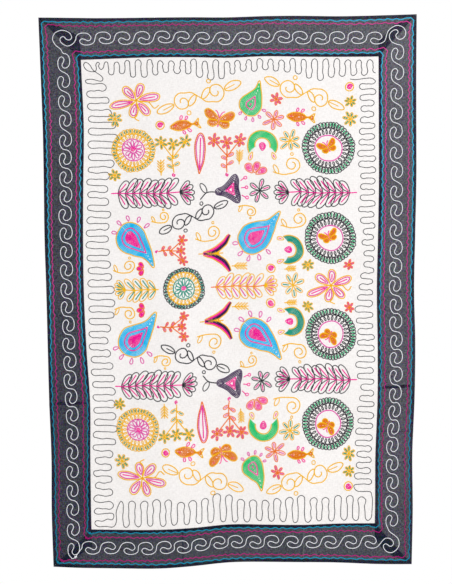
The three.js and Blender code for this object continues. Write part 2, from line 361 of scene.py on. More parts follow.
def closed_sheet(name, front, back, flat):
    """A mesh of a thin closed sheet from three grids of points: its face, its reverse, and where
    they lie on the flat cloth."""
    rows, columns = front.shape[:2]
    points = np.concatenate([front.reshape(-1, 3), back.reshape(-1, 3)])
    index = np.arange(rows * columns).reshape(rows, columns)
    face = np.stack([index[:-1, :-1], index[1:, :-1], index[1:, 1:], index[:-1, 1:]], axis=-1)
    reverse = face[..., ::-1] + rows * columns
    rim = np.concatenate([index[:-1, 0], index[-1, :-1], index[:0:-1, -1], index[0, :0:-1]])
    following = np.roll(rim, -1)
    edge = np.stack([rim, rim + rows * columns, following + rows * columns, following], axis=-1)
    quads = np.concatenate([face.reshape(-1, 4), reverse.reshape(-1, 4), edge])
    mesh = bpy.data.meshes.new(name)
    mesh.from_pydata(points.tolist(), [], quads.tolist())

    places = np.tile(flat.reshape(-1, 2) * MM, (2, 1))[quads]
    across = np.linalg.norm(np.diff(front[rows // 2], axis=0), axis=1)
    across = np.concatenate([[0], np.cumsum(across)]) / across.sum()
    across, down = np.meshgrid(across, np.linspace(0, 1, rows))
    face_map = np.column_stack([across.ravel() * FACE_SIDE, down.ravel()])
    reverse_map = np.column_stack([REVERSE_SIDE + (1 - REVERSE_SIDE) * across.ravel(), down.ravel()])
    bake = np.concatenate([face_map, reverse_map])[quads]
    first, last = np.arange(len(rim)) / len(rim), np.arange(1, len(rim) + 1) / len(rim)
    near, far = (np.full(len(rim), place) for place in EDGES_SIDE)
    bake[-len(rim):] = np.stack([near, first, far, first, far, last, near, last], axis=-1).reshape(-1, 4, 2)
    add_map(mesh, CLOTH_MAP, places)
    add_map(mesh, BAKE_MAP, bake)
    return mesh


def add_map(mesh, name, corners):
    """A UV map from the places of the faces' corners."""
    mesh.uv_layers.new(name=name).uv.foreach_set("vector", corners.ravel().astype(np.float32))


PANEL_ACROSS, PANEL_DOWN = 0.8, 0.87  # about the panel's shares of the cloth's width and height


def panel_mesh(spacing):
    """The cream panel, from one strip's seam to the other with the laps behind them."""
    columns = int(CLOTH_WIDTH * PANEL_ACROSS / spacing)
    rows = int(CLOTH_HEIGHT * PANEL_DOWN / spacing)
    across, down = np.meshgrid(np.linspace(0, 1, columns), np.linspace(0, 1, rows))
    u, v = across, down
    for _ in range(PASSES):
        first_u = (read(STRIPS, LEFT, v) - LAP) / CLOTH_WIDTH
        last_u = 1 - (read(STRIPS, RIGHT, v) - LAP) / CLOTH_WIDTH
        first_v = (read(STRIPS, TOP, u) - LAP) / CLOTH_HEIGHT
        last_v = 1 - (read(STRIPS, BOTTOM, u) - LAP) / CLOTH_HEIGHT
        u = first_u + (last_u - first_u) * across
        v = first_v + (last_v - first_v) * down
    x, z = (u - 0.5) * CLOTH_WIDTH, -v * CLOTH_HEIGHT
    flat = np.stack([x, z], axis=-1)
    return closed_sheet("panel_cloth", on_cloth(x, z, PANEL_HALF), on_cloth(x, z, -PANEL_HALF), flat)


FOLD_TURNS = np.radians([90, 45, 0, -45, -90])  # the stations round a turned-over edge


def strip_profile(spacing):
    """A strip's folded section from the edge of its hem to its turned-under edge: for each point the
    share of the strip's width and mm that place it across, its height, and its normal."""
    fold, middle = (FACE_OUT - TURNED_OUT) / 2, (FACE_OUT + TURNED_OUT) / 2
    points = [(0, HEM * share, TURNED_OUT) for share in (1, 0.66, 0.33)]
    points += [(0, fold - fold * math.cos(turn), middle - fold * math.sin(turn)) for turn in FOLD_TURNS]
    points += [(share, 0, FACE_OUT) for share in np.linspace(0, 1, int(STRIP_WIDTH / spacing) + 1)[1:-1]]
    points += [(1, fold * math.cos(turn) - fold, middle + fold * math.sin(turn)) for turn in FOLD_TURNS]
    points += [(1, -TURNING / 2, TURNED_OUT), (1, -TURNING, TURNED_OUT)]
    profile = np.array(points, dtype=float)
    flat = np.column_stack([profile[:, 0] * STRIP_WIDTH + profile[:, 1], profile[:, 2]])
    along = np.gradient(flat, axis=0)
    normals = np.column_stack([-along[:, 1], along[:, 0]])
    return profile, normals / np.linalg.norm(normals, axis=1)[:, None]


def strip_stations(side, length, spacing):
    """Where the middle station lies along a strip, and a row for each station: its share of the way
    along, how far down and forward a tuck moves it, and how far down the tuck would if it were open."""
    shares = np.linspace(0, 1, int(length / spacing))
    rows = np.column_stack([shares, np.zeros((len(shares), 3))])
    if side not in TUCKS:
        return 0.5, rows
    middle = sum(TUCKS[side]) / 2 / length
    count = len(TUCK_PATH)
    tuck = np.column_stack([np.full(count, middle), TUCK_PATH,
                            np.linspace(TUCK_PATH[0, 0], TUCK_PATH[-1, 0], count)])
    above, below = middle - TUCK_CLEAR[0] / length, middle + TUCK_CLEAR[1] / length
    return middle, np.vstack([rows[shares < above], tuck, rows[shares > below]])


def strip_grid(side, spacing):
    """A strip's section at stations from one mitre to the other: how far each point lies in from the
    outer edge, the share of the way along, the heights and the normals."""
    profile, normals = strip_profile(spacing)
    is_side = side in (LEFT, RIGHT)
    length = LENGTHS[side]
    if is_side:
        ends = {TOP: CORNERS[side, TOP], BOTTOM: CORNERS[side, BOTTOM]}
    else:
        ends = {LEFT: CORNERS[LEFT, side][::-1], RIGHT: CORNERS[RIGHT, side][::-1]}
    middle, rows = strip_stations(side, length, spacing)
    share, down, forward, open_down = (rows[:, column, None] for column in range(4))
    upper, lower = np.minimum(share / middle, 1), np.maximum((share - middle) / (1 - middle), 0)
    level = np.interp(profile[:, 0], (0, 1), TUCKS.get(side, (length / 2, length / 2))) / length
    at = np.repeat(share, len(profile), axis=1)
    for _ in range(PASSES):
        inset = profile[:, 0] * read(STRIPS, side, at) + profile[:, 1]
        stops = []
        for end, (corner_inset, corner_along) in ends.items():
            stop = inset * corner_along / corner_inset
            if is_side:  # which runs on as a flap behind the top or bottom strip
                stop = np.minimum(stop + VOILE_HALF, flap_end(side, end, inset))
            stops.append(stop / length)
        at = stops[0] + (level - stops[0]) * upper + (1 - stops[1] - level) * lower
    folded = smoothstep(profile[:, 0], *TUCK_ENDS[0]) * smoothstep(profile[:, 0], *TUCK_ENDS[1])
    at = at + (open_down + (down - open_down) * folded) / length
    out = profile[:, 2] + forward * folded
    if not is_side:
        past_corner = np.minimum(at * length - ends[LEFT][1], (1 - at) * length - ends[RIGHT][1])
        out = out + FLAP_LIFT * (1 - smoothstep(past_corner, LIFT_START, LIFT_END))
    return inset, at, out, normals


def strip_mesh(side, name, spacing):
    """One border strip, with its hem turned back and its seam edge turned under."""
    inset, at, out, normals = strip_grid(side, spacing)
    faces = []
    for half in (VOILE_HALF, -VOILE_HALF):
        x, z = from_edge(side, at * LENGTHS[side], inset + normals[:, 0] * half)
        faces.append(on_cloth(x, z, out + normals[:, 1] * half))
    faces.append(np.stack([x, z], axis=-1))
    if side in (RIGHT, TOP):
        faces = [face[:, ::-1] for face in faces]
    return closed_sheet(name, *faces)


# --- Lines of thread ------------------------------------------------------------------------------

Line = namedtuple("Line", "thread width points")

HAND = np.random.default_rng(7)  # the small differences of hand work
ROW = 3.4  # from one row of filling stitches to the next
TURN_POINTS = 26  # points in one turn of a spiral


def path(*points):
    """A line straight from point to point."""
    return np.array(points, dtype=float)


def smooth(points, closed=False, steps=8):
    """A smooth curve through a few points."""
    knots = np.array(points, dtype=float)
    if closed:
        knots = np.vstack([knots[-1], knots, knots[:2]])
    else:
        knots = np.vstack([2 * knots[0] - knots[1], knots, 2 * knots[-1] - knots[-2]])
    share = np.linspace(0, 1, steps, endpoint=False)[None, :, None]
    a, b, c, d = (knots[first:len(knots) - 3 + first, None, :] for first in range(4))
    spans = 0.5 * (2 * b + (c - a) * share + (2 * a - 5 * b + 4 * c - d) * share ** 2
                   + (3 * b - a - 3 * c + d) * share ** 3)
    return np.vstack([spans.reshape(-1, 2), knots[-2]])


def turned(points, degrees):
    """Points turned anticlockwise about the origin."""
    angle = math.radians(degrees)
    across = points[:, 0] * math.cos(angle) - points[:, 1] * math.sin(angle)
    up = points[:, 0] * math.sin(angle) + points[:, 1] * math.cos(angle)
    return np.column_stack([across, up])


def arc_lengths(points):
    """How far along a line each of its points lies."""
    steps = np.linalg.norm(np.diff(points, axis=0), axis=1)
    return np.concatenate([[0], np.cumsum(steps)])


def points_at(points, along, at):
    """The places at distances along a line whose points lie at the distances `along`."""
    return np.column_stack([np.interp(at, along, points[:, 0]), np.interp(at, along, points[:, 1])])


def right_of(steps):
    """Steps turned a quarter to the right."""
    return np.column_stack([steps[:, 1], -steps[:, 0]])


def resampled(points, spacing):
    """Evenly spaced points along a line."""
    along = arc_lengths(points)
    count = max(2, int(round(along[-1] / spacing)) + 1)
    return points_at(points, along, np.linspace(0, along[-1], count))


def circle(radius, x=0.0, y=0.0):
    """A ring round a point."""
    angle = np.linspace(0, 2 * math.pi, max(13, int(radius * 1.6)))
    return np.column_stack([x + radius * np.cos(angle), y + radius * np.sin(angle)])


def spiral(outer, inner, turns, start=0):
    """Inwards, anticlockwise for positive turns, from `start` degrees."""
    share = np.linspace(0, 1, int(abs(turns) * TURN_POINTS) + 2)
    radius = outer + (inner - outer) * share
    angle = math.radians(start) + 2 * math.pi * turns * share
    return np.column_stack([radius * np.cos(angle), radius * np.sin(angle)])


def drop(length, width, base=0.0):
    """A drop-shaped loop, its point at x = base and its round end at x = length."""
    turn = np.linspace(0, 2 * math.pi, 25)
    reach = (1 - np.cos(turn)) / 2
    bulge = np.sin(turn) * np.sqrt(reach) / 1.54
    return np.column_stack([base + (length - base) * reach, width * bulge])


def leaf(length, width):
    """A loop that is pointed at both ends."""
    turn = np.linspace(0, 2 * math.pi, 27)
    bulge = np.sign(np.sin(turn)) * np.abs(np.sin(turn)) ** 1.25 / 2
    return np.column_stack([length * (1 - np.cos(turn)) / 2, width * bulge])


LOOP_LEAN = 0.9  # how far the loops of a ring lean over each other
LOOP_UNEVEN = 0.07  # how far one may stand in or out, in lengths of a loop


def loops(radius, reach, count):
    """A ring of loops drawn in one line, reaching inwards from a radius, each a little off."""
    share = np.linspace(0, 1, count * 12 + 1)
    turn = 2 * math.pi * count * share
    uneven = np.interp(share * count, np.arange(count + 1), HAND.uniform(-1, 1, count + 1))
    distance = radius + uneven * reach * LOOP_UNEVEN - reach / 2 + reach / 2 * np.cos(turn)
    angle = 2 * math.pi * share + LOOP_LEAN * 2 * math.pi / count * np.sin(turn) / 2
    return np.column_stack([distance * np.cos(angle), distance * np.sin(angle)])


CONTOUR_STEP = 2.0  # mm between the points of an outline and of the rows inside it
CONTOUR_SLACK = 0.93  # how near its distance from the outline a point of a row has to be
FEWEST_POINTS = 8  # of a row that is worth working


def inset_contour(outline, distance):
    """A closed outline's contour at a distance inwards, or None where there is no room for one."""
    steps = np.roll(outline[:-1], -1, axis=0) - np.roll(outline[:-1], 1, axis=0)
    normals = -right_of(steps)
    normals /= np.linalg.norm(normals, axis=1)[:, None] + TINY
    area = np.sum(outline[:-1, 0] * np.roll(outline[:-1, 1], -1)
                  - outline[:-1, 1] * np.roll(outline[:-1, 0], -1))
    inner = outline[:-1] + normals * distance * np.sign(area)
    away = np.linalg.norm(inner[:, None, :] - outline[None, :-1, :], axis=2).min(axis=1)
    inner = inner[away > CONTOUR_SLACK * distance]
    return None if len(inner) < FEWEST_POINTS else np.vstack([inner, inner[:1]])


def contours(outline, thread, width, first, last):
    """Rows of stitches that follow a closed outline, the first to the last row in from it."""
    rows = []
    for row in range(first, last + 1):
        inner = resampled(outline, CONTOUR_STEP)
        if row:
            inner = inset_contour(inner, row * ROW)
        if inner is None:
            break
        rows.append(Line(thread, width, inner))
    return rows


def placed(lines, x=0.0, y=0.0, turn=0.0, size=1.0, flip=False):
    """A motif set down on the panel: flipped over its own x axis, sized, turned and moved."""
    scale = np.array([size, -size if flip else size])
    return [line._replace(points=turned(line.points * scale, turn) + np.array([x, y])) for line in lines]


# --- Motifs of the panel --------------------------------------------------------------------------
# Each is drawn about its own origin with its stem or spine along +x, in millimetres.

BROAD = 3.8  # width of a row of chain stitch
FINE = 3.2  # width of a row in one strand


def dot(thread, x=0.0, y=0.0, radius=4.0, ring=None):
    """A knot of stitches that winds in on itself, with a ring of another thread or none."""
    lines = [Line(thread, BROAD, spiral(radius, 0.5, radius / ROW) + np.array([x, y]))]
    if ring:
        lines.append(Line(ring, BROAD, circle(radius + 3.6, x, y)))
    return lines


def lined_loop(outline, core, length, width, start, end, core_width=BROAD):
    """A narrow loop with a stitch or two of another thread in it, from `start` to `end`."""
    return [Line(outline, FINE, drop(length, width)), Line(core, core_width, path((start, 0), (end, 0)))]


def bud(size, heart, edge):
    """Three filled drops that open from one point."""
    lines = []
    for angle in (-48, 0, 48):
        petal = drop(34 * size, 17 * size, base=5 * size)
        lines += placed(contours(petal, heart, BROAD, 1, 3) + [Line(edge, FINE, petal)], turn=angle)
    return lines


def lined_petal(length, width, outline, lining, core):
    """A drop-shaped petal inside another, with a vein."""
    return [
        Line(outline, BROAD, drop(length, width)),
        Line(lining, BROAD, drop(length - 5, width - 8, base=10)),
        Line(core, BROAD, path((18, 0), (length - 13, 0))),
    ]


def star_flower(radius, lengths, outline, lining, core):
    """Lined petals round a knot, with two loose stamens."""
    lines = []
    for index, share in enumerate(lengths):
        petal = lined_petal(radius * share, radius * 0.36, outline, lining, core)
        lines += placed(petal, turn=index * 360 / len(lengths) + 12)
    for angle, reach in ((-22, 1.0), (-100, 0.85)):
        stamen = smooth([(6, 0), (radius * 0.5 * reach, radius * 0.13), (radius * 0.8 * reach, 0),
                         (radius * 0.92 * reach, radius * 0.2)])
        lines.append(Line(outline, BROAD, turned(stamen, angle)))
    return lines + dot("orange")


def small_star(radius, petals, outline, core):
    """A star of narrow loops, each with a stitch or two of another thread in it."""
    lines = []
    for index in range(petals):
        reach = radius * HAND.uniform(0.88, 1.12)
        loop = lined_loop(outline, core, reach, radius * 0.34, reach * 0.35, reach * 0.88)
        lines += placed(loop, turn=(index + HAND.uniform(-0.12, 0.12)) * 360 / petals + 20)
    return lines


def wheel(radius, outline, beads, web, rim):
    """Looped rings: beads outside and a web of loops inside, on a plain rim."""
    count = int(2 * math.pi * radius / 9.8)
    lines = [Line(outline, FINE, loops(radius, radius * 0.2, count))]
    for index in range(count):
        bead = path((radius * 0.82, 0), (radius * 0.96, 0))
        lines.append(Line(beads, BROAD, turned(bead, (index + HAND.uniform(-0.2, 0.2)) * 360 / count)))
    lines.append(Line(web, FINE, circle(radius * 0.78)))
    lines.append(Line(web, FINE, loops(radius * 0.76, radius * 0.22, count * 5 // 8)))
    lines.append(Line(rim, BROAD, circle(radius * 0.5)))
    return lines


def spoked_wheel(radius, outline, beads, web, spokes, heart):
    """A wheel with looped spokes and a knot in it."""
    lines = wheel(radius, outline, beads, web, spokes)
    for index in range(12):
        spoke = drop(radius * (0.44 + HAND.uniform(-0.03, 0.03)), radius * 0.13, base=radius * 0.12)
        lines.append(Line(spokes, FINE, turned(spoke, index * 30 + HAND.uniform(-5, 5))))
    return lines + dot(heart, radius=radius * 0.11)


def filled_wheel(radius, outline, beads, web, rim, inside):
    """A wheel with another small motif in it."""
    return wheel(radius, outline, beads, web, rim) + placed(inside, turn=25, size=radius / 105)


FROND_LEAN = 52  # degrees between a frond's stem and its leaves
TWIG_LEAN = 40


def frond(length, reach, outline, core, stem, pairs):
    """A stem with pairs of looped leaves and a fan of them at its tip."""
    lines = [Line(stem, BROAD, np.column_stack([length * np.linspace(0, 1, 14), np.zeros(14)]))]
    for pair in range(pairs):
        at = 0.1 + 0.82 * pair / pairs
        size = reach * (0.78 + 0.3 * math.sin(math.pi * (at * 0.8 + 0.15)))
        for side in (-1, 1):
            loop = lined_loop(outline, core, size * HAND.uniform(0.9, 1.1), size * 0.4, size * 0.1,
                              size * 0.8)
            lines += placed(loop, length * at, 0, side * (FROND_LEAN + HAND.uniform(-5, 5)))
    for angle in (-50, -25, 0, 25, 50):
        loop = lined_loop(outline, core, reach * 0.9, reach * 0.32, reach * 0.2, reach * 0.74)
        lines += placed(loop, length, 0, angle)
    return lines


def twig(length, reach, thread, pairs=4):
    """A stem with bare side twigs."""
    lines = [Line(thread, BROAD, path((0, 0), (length, 0)))]
    slant = math.radians(TWIG_LEAN)
    for pair in range(pairs):
        x = length * (0.18 + 0.7 * pair / pairs)
        for side in (-1, 1):
            end_x, end_y = x + reach * math.cos(slant), side * reach * math.sin(slant)
            lines.append(Line(thread, BROAD, path((x, 0), (end_x, end_y))))
    return lines


def tendril(length, radius, thread):
    """A long stalk that rolls up into an open spiral, with a leaf and a small loop on its way."""
    curl = spiral(radius, radius * 0.24, 1.55, -96)[::2] + np.array([length, radius])
    stalk = smooth(np.vstack([[(0, radius * 0.2), (length * 0.5, -radius * 0.08)], curl]), steps=4)
    lines = [Line(thread, BROAD, stalk), Line(thread, FINE, circle(radius * 0.16, length, radius * 2.2))]
    return lines + placed([Line(thread, FINE, leaf(radius * 1.15, radius * 0.45))], length * 0.3, 0, 118)


def scroll(length, radius, thread):
    """A stalk with a curl, a leaf and a small loop at each of its two ends."""
    curl = spiral(radius, radius * 0.2, 1.4, -100)[::2] + np.array([length / 2, radius * 0.62])
    stalk = smooth(np.vstack([[(0, 0), (length * 0.24, -radius * 0.42)], curl]), steps=4)
    half = [Line(thread, BROAD, stalk)]
    blade = [Line(thread, BROAD, leaf(radius * 1.7, radius * 0.8)),
             Line(thread, FINE, path((0, 0), (radius * 1.1, 0)))]
    half += placed(blade, length / 2 + radius * 0.9, radius * 0.9, 28)
    half += placed([Line(thread, FINE, circle(radius * 0.2, radius * 0.2))], length / 2 - radius * 0.55,
                   radius * 1.42, 125)
    half += placed([Line(thread, BROAD, leaf(radius * 1.3, radius * 0.55))], length * 0.1, -radius * 0.2, 62)
    return half + placed(half, turn=180)


def banded(outline, bands):
    """A closed shape filled with rows that follow its outline: (thread, first row, last row) each."""
    return sum((contours(outline, thread, BROAD, first, last) for thread, first, last in bands), [])


def mango(size, body, heart, edge, sprig):
    """A filled mango shape with a bent tip, banded in two threads, with loops round its foot."""
    outline = smooth([(-30, -38), (-48, -8), (-38, 26), (-6, 44), (26, 56), (52, 82), (50, 48), (42, 8),
                      (28, -26), (0, -46)], closed=True, steps=7) * size
    lines = banded(outline, ((edge, 0, 0), (body, 1, 4), (heart, 5, 5), (body, 6, 7), (heart, 8, 12)))
    for angle in (-160, -128, -96, -64, -32):
        turn = math.radians(angle)
        lines += placed([Line(sprig, FINE, drop(17 * size, 8 * size))],
                        -4 + 42 * size * math.cos(turn), -4 + 45 * size * math.sin(turn), angle)
    return lines


def bell_flower(size, body, heart, stalk):
    """A filled bell on a stalk, with a heart of another colour and three stamens."""
    outline = smooth([(0, 6), (20, 14), (50, 36), (58, 24), (55, 0), (58, -24), (50, -36), (20, -14),
                      (0, -6)], closed=True, steps=6) * size
    lines = banded(outline, ((body, 0, 3), (heart, 4, 12)))
    lines.append(Line(stalk, BROAD, smooth([(-42 * size, -14 * size), (-24 * size, 0), (0, 0)])))
    lines += placed([Line(stalk, FINE, leaf(26 * size, 12 * size))], -24 * size, 0, 115)
    for y in (-18, 0, 18):
        lines.append(Line(heart, FINE, path((62 * size, y * size), (72 * size, y * 1.35 * size))))
        lines.append(Line(heart, FINE, circle(3.6 * size, 76 * size, y * 1.4 * size)))
    return lines


def crescent(radius, body, edge, bead):
    """A filled crescent with a bead in it and loops on its ends."""
    lines = []
    for row in range(7):
        arc = np.linspace(math.radians(-118 + row * 3), math.radians(118 - row * 3), 28)
        reach = radius - row * ROW
        thread = edge if row in (0, 6) else body
        lines.append(Line(thread, BROAD, np.column_stack([reach * np.cos(arc), reach * np.sin(arc)])))
    for side in (-1, 1):
        loop = lined_loop(edge, bead, 22, 11, 8, 18, FINE)
        lines += placed(loop, -radius * 0.38, side * radius * 0.68, side * 160)
    eye = drop(radius * 0.5, radius * 0.4) - np.array([radius * 0.3, 0])
    return lines + contours(eye, bead, BROAD, 0, 3)


def pod_pair(length, dark, bright, edge):
    """Two striped pods that spring from one stalk, with a twig between them."""
    lines = []
    for side in (-1, 1):
        spine = smooth([(0, 0), (length * 0.4, side * length * 0.12), (length * 0.75, side * length * 0.36),
                        (length * 0.95, side * length * 0.66)])
        steps = np.gradient(spine, axis=0)
        normal = -right_of(steps) / np.linalg.norm(steps, axis=1)[:, None]
        taper = np.sin(np.linspace(0.12, 0.94, len(spine)) * math.pi)[:, None] ** 0.6
        for row, thread in enumerate((edge, dark, dark, dark, bright, bright, edge), -3):
            lines.append(Line(thread, BROAD, spine + normal * row * side * ROW * taper))
    lines += placed(twig(length * 0.6, 13, edge, pairs=3), 8, 0)
    lines.append(Line(edge, BROAD, path((0, 0), (-18, 0))))
    return lines


def butterfly(size, wings, edge, spot):
    """A butterfly seen from above, with filled wings and two feelers."""
    lines = []
    upper = smooth([(0, 4), (12, 22), (30, 32), (38, 24), (28, 8)], closed=True, steps=6) * size
    lower = smooth([(0, 2), (24, 4), (26, -8), (14, -14), (2, -6)], closed=True, steps=6) * size
    for side in (1, -1):
        mirror = np.array([side, 1])
        for wing in (upper, lower):
            lines += contours(wing * mirror, wings, BROAD, 1, 4)
            lines.append(Line(edge, BROAD, wing * mirror))
        lines += dot(spot, side * 26 * size, 22 * size, 3.4)
        feeler = smooth([(0, 10 * size), (side * 6 * size, 26 * size), (side * 12 * size, 30 * size)])
        lines.append(Line(spot, FINE, feeler))
    lines.append(Line(spot, BROAD, path((0, -14 * size), (0, 12 * size))))
    return lines


def fish(size, body, edge, spot):
    """A filled fish with an eye and looped fins."""
    outline = smooth([(-34, 0), (-14, 12), (12, 9), (26, 1), (44, 14), (40, 0), (44, -14), (26, -1), (12, -9),
                      (-14, -12)], closed=True, steps=6) * size
    lines = contours(outline, body, BROAD, 1, 4)
    lines.append(Line(edge, BROAD, outline))
    lines += dot(spot, -20 * size, 1 * size, 3.6)
    for x, y, angle in ((-6, 12, 70), (6, 11, 50), (-4, -12, -70), (8, -10, -50)):
        lines += placed([Line(spot, FINE, drop(13 * size, 6 * size))], x * size, y * size, angle)
    return lines


def star_sprig(length, outline, core, bead):
    """A forked sprig with small stars at its tips."""
    lines = [Line(outline, BROAD, smooth([(0, 0), (length * 0.35, 2), (length * 0.6, 0)]))]
    for angle, reach in ((-38, 0.62), (0, 0.42), (38, 0.62)):
        end_x = length * 0.55 + length * reach * math.cos(math.radians(angle)) * 0.75
        end_y = length * reach * math.sin(math.radians(angle)) * 0.95
        lines.append(Line(outline, BROAD, path((length * 0.45, 0), (end_x, end_y))))
        lines += placed(small_star(18, 6, outline, core), end_x, end_y, angle)
    for x, angle in ((0.12, 60), (0.2, -60), (0.34, 55), (0.42, -55)):
        loop = lined_loop(outline, core, 20, 8, 6, 17, FINE)
        lines += placed(loop, length * x, 0, angle)
    return lines + dot(bead, -6, 0, 5)


# How each motif is made: its function, and what that function takes.
MOTIFS = {
    "gold_scroll": (scroll, 92, 30, "gold"),
    "gold_curl": (tendril, 62, 27, "gold"),
    "charcoal_scroll": (scroll, 84, 27, "charcoal"),
    "butterfly": (butterfly, 1.15, "rust", "gold", "hot_pink"),
    "fish": (fish, 1.15, "rust", "gold", "hot_pink"),
    "star_flower": (star_flower, 66, (1.0, 0.74, 0.8, 1.12, 0.7, 0.78), "gold", "pink", "hot_pink"),
    "gold_star": (small_star, 32, 7, "gold", "teal"),
    "pink_star": (small_star, 30, 6, "orange", "pink"),
    "charcoal_star": (small_star, 30, 6, "charcoal", "hot_pink"),
    "gold_twig": (twig, 64, 22, "gold"),
    "crescent": (crescent, 42, "green", "gold", "hot_pink"),
    "teal_crescent": (crescent, 42, "teal", "gold", "hot_pink"),
    "green_mango": (mango, 0.66, "green", "hot_pink", "gold", "pink"),
    "blue_mango": (mango, 1.0, "sky", "hot_pink", "gold", "pink"),
    "gold_wheel": (spoked_wheel, 58, "gold", "teal", "gold", "pink", "hot_pink"),
    "mint_wheel": (filled_wheel, 72, "charcoal", "mint", "charcoal", "pink",
                   butterfly(1.0, "rust", "gold", "hot_pink")),
    "teal_wheel": (spoked_wheel, 58, "charcoal", "teal", "gold", "teal", "hot_pink"),
    "pink_frond": (frond, 188, 46, "charcoal", "hot_pink", "hot_pink", 8),
    "teal_frond": (frond, 92, 36, "gold", "teal", "gold", 4),
    "orange_frond": (frond, 150, 40, "gold", "pink", "orange", 6),
    "bell": (bell_flower, 1.05, "purple", "hot_pink", "charcoal"),
    "dark_pods": (pod_pair, 98, "purple", "hot_pink", "gold"),
    "orange_sprig": (star_sprig, 96, "orange", "pink", "hot_pink"),
    "teal_sprig": (star_sprig, 92, "gold", "teal", "hot_pink"),
    "long_leaf": (lined_petal, 118, 30, "orange", "pink", "hot_pink"),
    "bud": (bud, 1.0, "hot_pink", "orange"),
    "pink_dot": (dot, "hot_pink", 0, 0, 8, "gold"),
}

# Motif, mm right of the panel's middle, mm up from it and, for some, the turn in degrees, the size and
# whether it is flipped. Each is worked again upside down in the lower half.
UPPER_HALF = (
    ("star_flower", -252, 514),
    ("gold_scroll", -82, 522, -4, 0.94),
    ("green_mango", 62, 500, 14, 1.05),
    ("gold_scroll", 206, 528, 2, 0.9, True),
    ("fish", -126, 446, 8, 0.9),
    ("pink_dot", -188, 446),
    ("butterfly", -30, 452, -10, 0.92),
    ("pink_star", 122, 455, 0, 0.95),
    ("fish", 190, 463, -4, 0.84),
    ("gold_star", -311, 464, 15, 0.62),
    ("pink_star", 128, 512, 0, 0.6),
    ("gold_star", 331, 507, 0, 0.5),
    ("pink_dot", 328, 548),
    ("gold_star", 330, 459, 0, 0.6),
    ("gold_wheel", -264, 380, 0, 1.02),
    ("teal_sprig", -155, 316, 90),
    ("long_leaf", -84, 310, 88, 0.96),
    ("orange_sprig", -7, 314, 90),
    ("crescent", 89, 384, 90),
    ("bud", 64, 305, 70, 1.1),
    ("gold_star", 164, 398, 0, 0.95),
    ("gold_curl", 116, 308, 0, 0.86),
    ("gold_twig", -189, 309, 90, 0.68),
    ("gold_star", -315, 312, 0, 0.5),
    ("gold_twig", 26, 336, 90, 0.62),
    ("mint_wheel", 270, 378),
    ("pink_frond", -326, 262),
    ("bell", -38, 262, 6, 1.05),
    ("charcoal_star", 82, 262),
    ("pink_frond", 349, 256, 180),
    ("blue_mango", -266, 138, 4, 1.0, True),
    ("gold_curl", -218, 181, 2, 0.58),
    ("charcoal_scroll", -100, 194, 0, 0.88),
    ("orange_sprig", -198, 102, 2, 0.76),
    ("gold_curl", -96, 130, 0, 0.78),
    ("gold_curl", 22, 222, -4, 0.58, True),
    ("dark_pods", -72, 92, 0, 0.78),
    ("blue_mango", 72, 132, -10),
    ("gold_curl", 140, 161, 0, 0.8),
    ("teal_crescent", 164, 98, 0, 0.92),
    ("mint_wheel", 276, 132, 0, 0.98),
    ("gold_twig", 4, 56, 0, 0.72),
    ("gold_curl", -324, 50, -4, 0.68),
    ("bud", -236, 56, 180, 0.66),
    ("pink_dot", 112, 48),
    ("gold_twig", 148, 46, 0, 0.56),
    ("gold_star", 215, 57, 0, 0.5),
    ("pink_star", 330, 58, 0, 0.5),
)
MIDDLE = (
    ("teal_frond", -198, 0, 180),
    ("teal_wheel", -128, 0, 0, 0.98),
    ("orange_frond", -54, 0),
    ("gold_star", 174, 0),
    ("star_flower", 278, 0, 10, 0.95),
)
PANEL_MIDDLE = -CLOTH_HEIGHT / 2 + 9  # up from the cloth's top edge

# The wander of a hand-guided needle across and up: waves, each as mm, turns across and up in
# WANDER_LENGTH and where it starts.
WANDER_LENGTH = 42.0
WANDER_ACROSS = ((0.9, 2.1, 1.3, 0.0), (0.9, -1.0, 2.9, 1.7), (0.35, 8.2, 5.8, 0.0))
WANDER_UP = ((0.9, 1.7, -2.3, 2.1), (0.9, 3.1, 1.0, 0.0), (0.35, 6.3, -8.6, 0.0))


def worked_by_hand(lines, offset):
    """The lines with the slow wander of a hand-guided needle, a different one for each offset."""
    result = []
    for line in lines:
        x, y = line.points.T / WANDER_LENGTH
        wander = [sum(reach * np.sin(over * x + up * y + phase + offset) for reach, over, up, phase in waves)
                  for waves in (WANDER_ACROSS, WANDER_UP)]
        result.append(line._replace(points=line.points + np.column_stack(wander)))
    return result


def motif(name, *place):
    """A new working of a motif, set down in its place. No two are quite alike."""
    make, *details = MOTIFS[name]
    return placed(make(*details), *place)


def panel_motifs():
    """Every motif line of the panel, in flat millimetres."""
    lines = []
    for row in UPPER_HALF:
        lines += worked_by_hand(motif(*row), 0.0)
        lines += worked_by_hand(placed(motif(*row), flip=True), 1.0)
    for row in MIDDLE:
        lines += worked_by_hand(motif(*row), 0.0)
    return placed(lines, 0, PANEL_MIDDLE)


# --- Lines of the border and the meander ----------------------------------------------------------

# One unit of the white running scroll, travelling right: an arc over the top, a hook, the S between
# the hooks, the other hook and an arc below.
SCROLL_UNIT = path((-27, -1), (-25, 8), (-18, 15), (-5, 18), (7, 16), (14, 10), (16, 3.5), (12, -2), (6, -3),
                   (-2, 0.5), (-9, 2), (-14, -1), (-16, -5), (-12, -11), (-3.5, -14.5), (9, -14.5), (19, -11),
                   (25, -5), (27, 0))
UNIT_PITCH = 54.0
SCROLL_WIDTH = 2.3
# How much one unit differs from the next: mm along, mm across, height as a share, and turn in degrees.
UNIT_ALONG, UNIT_ACROSS, UNIT_HEIGHT, UNIT_TURN = (-1.3, 1.3), (-1.6, 1.6), (0.96, 1.05), (-3, 3)
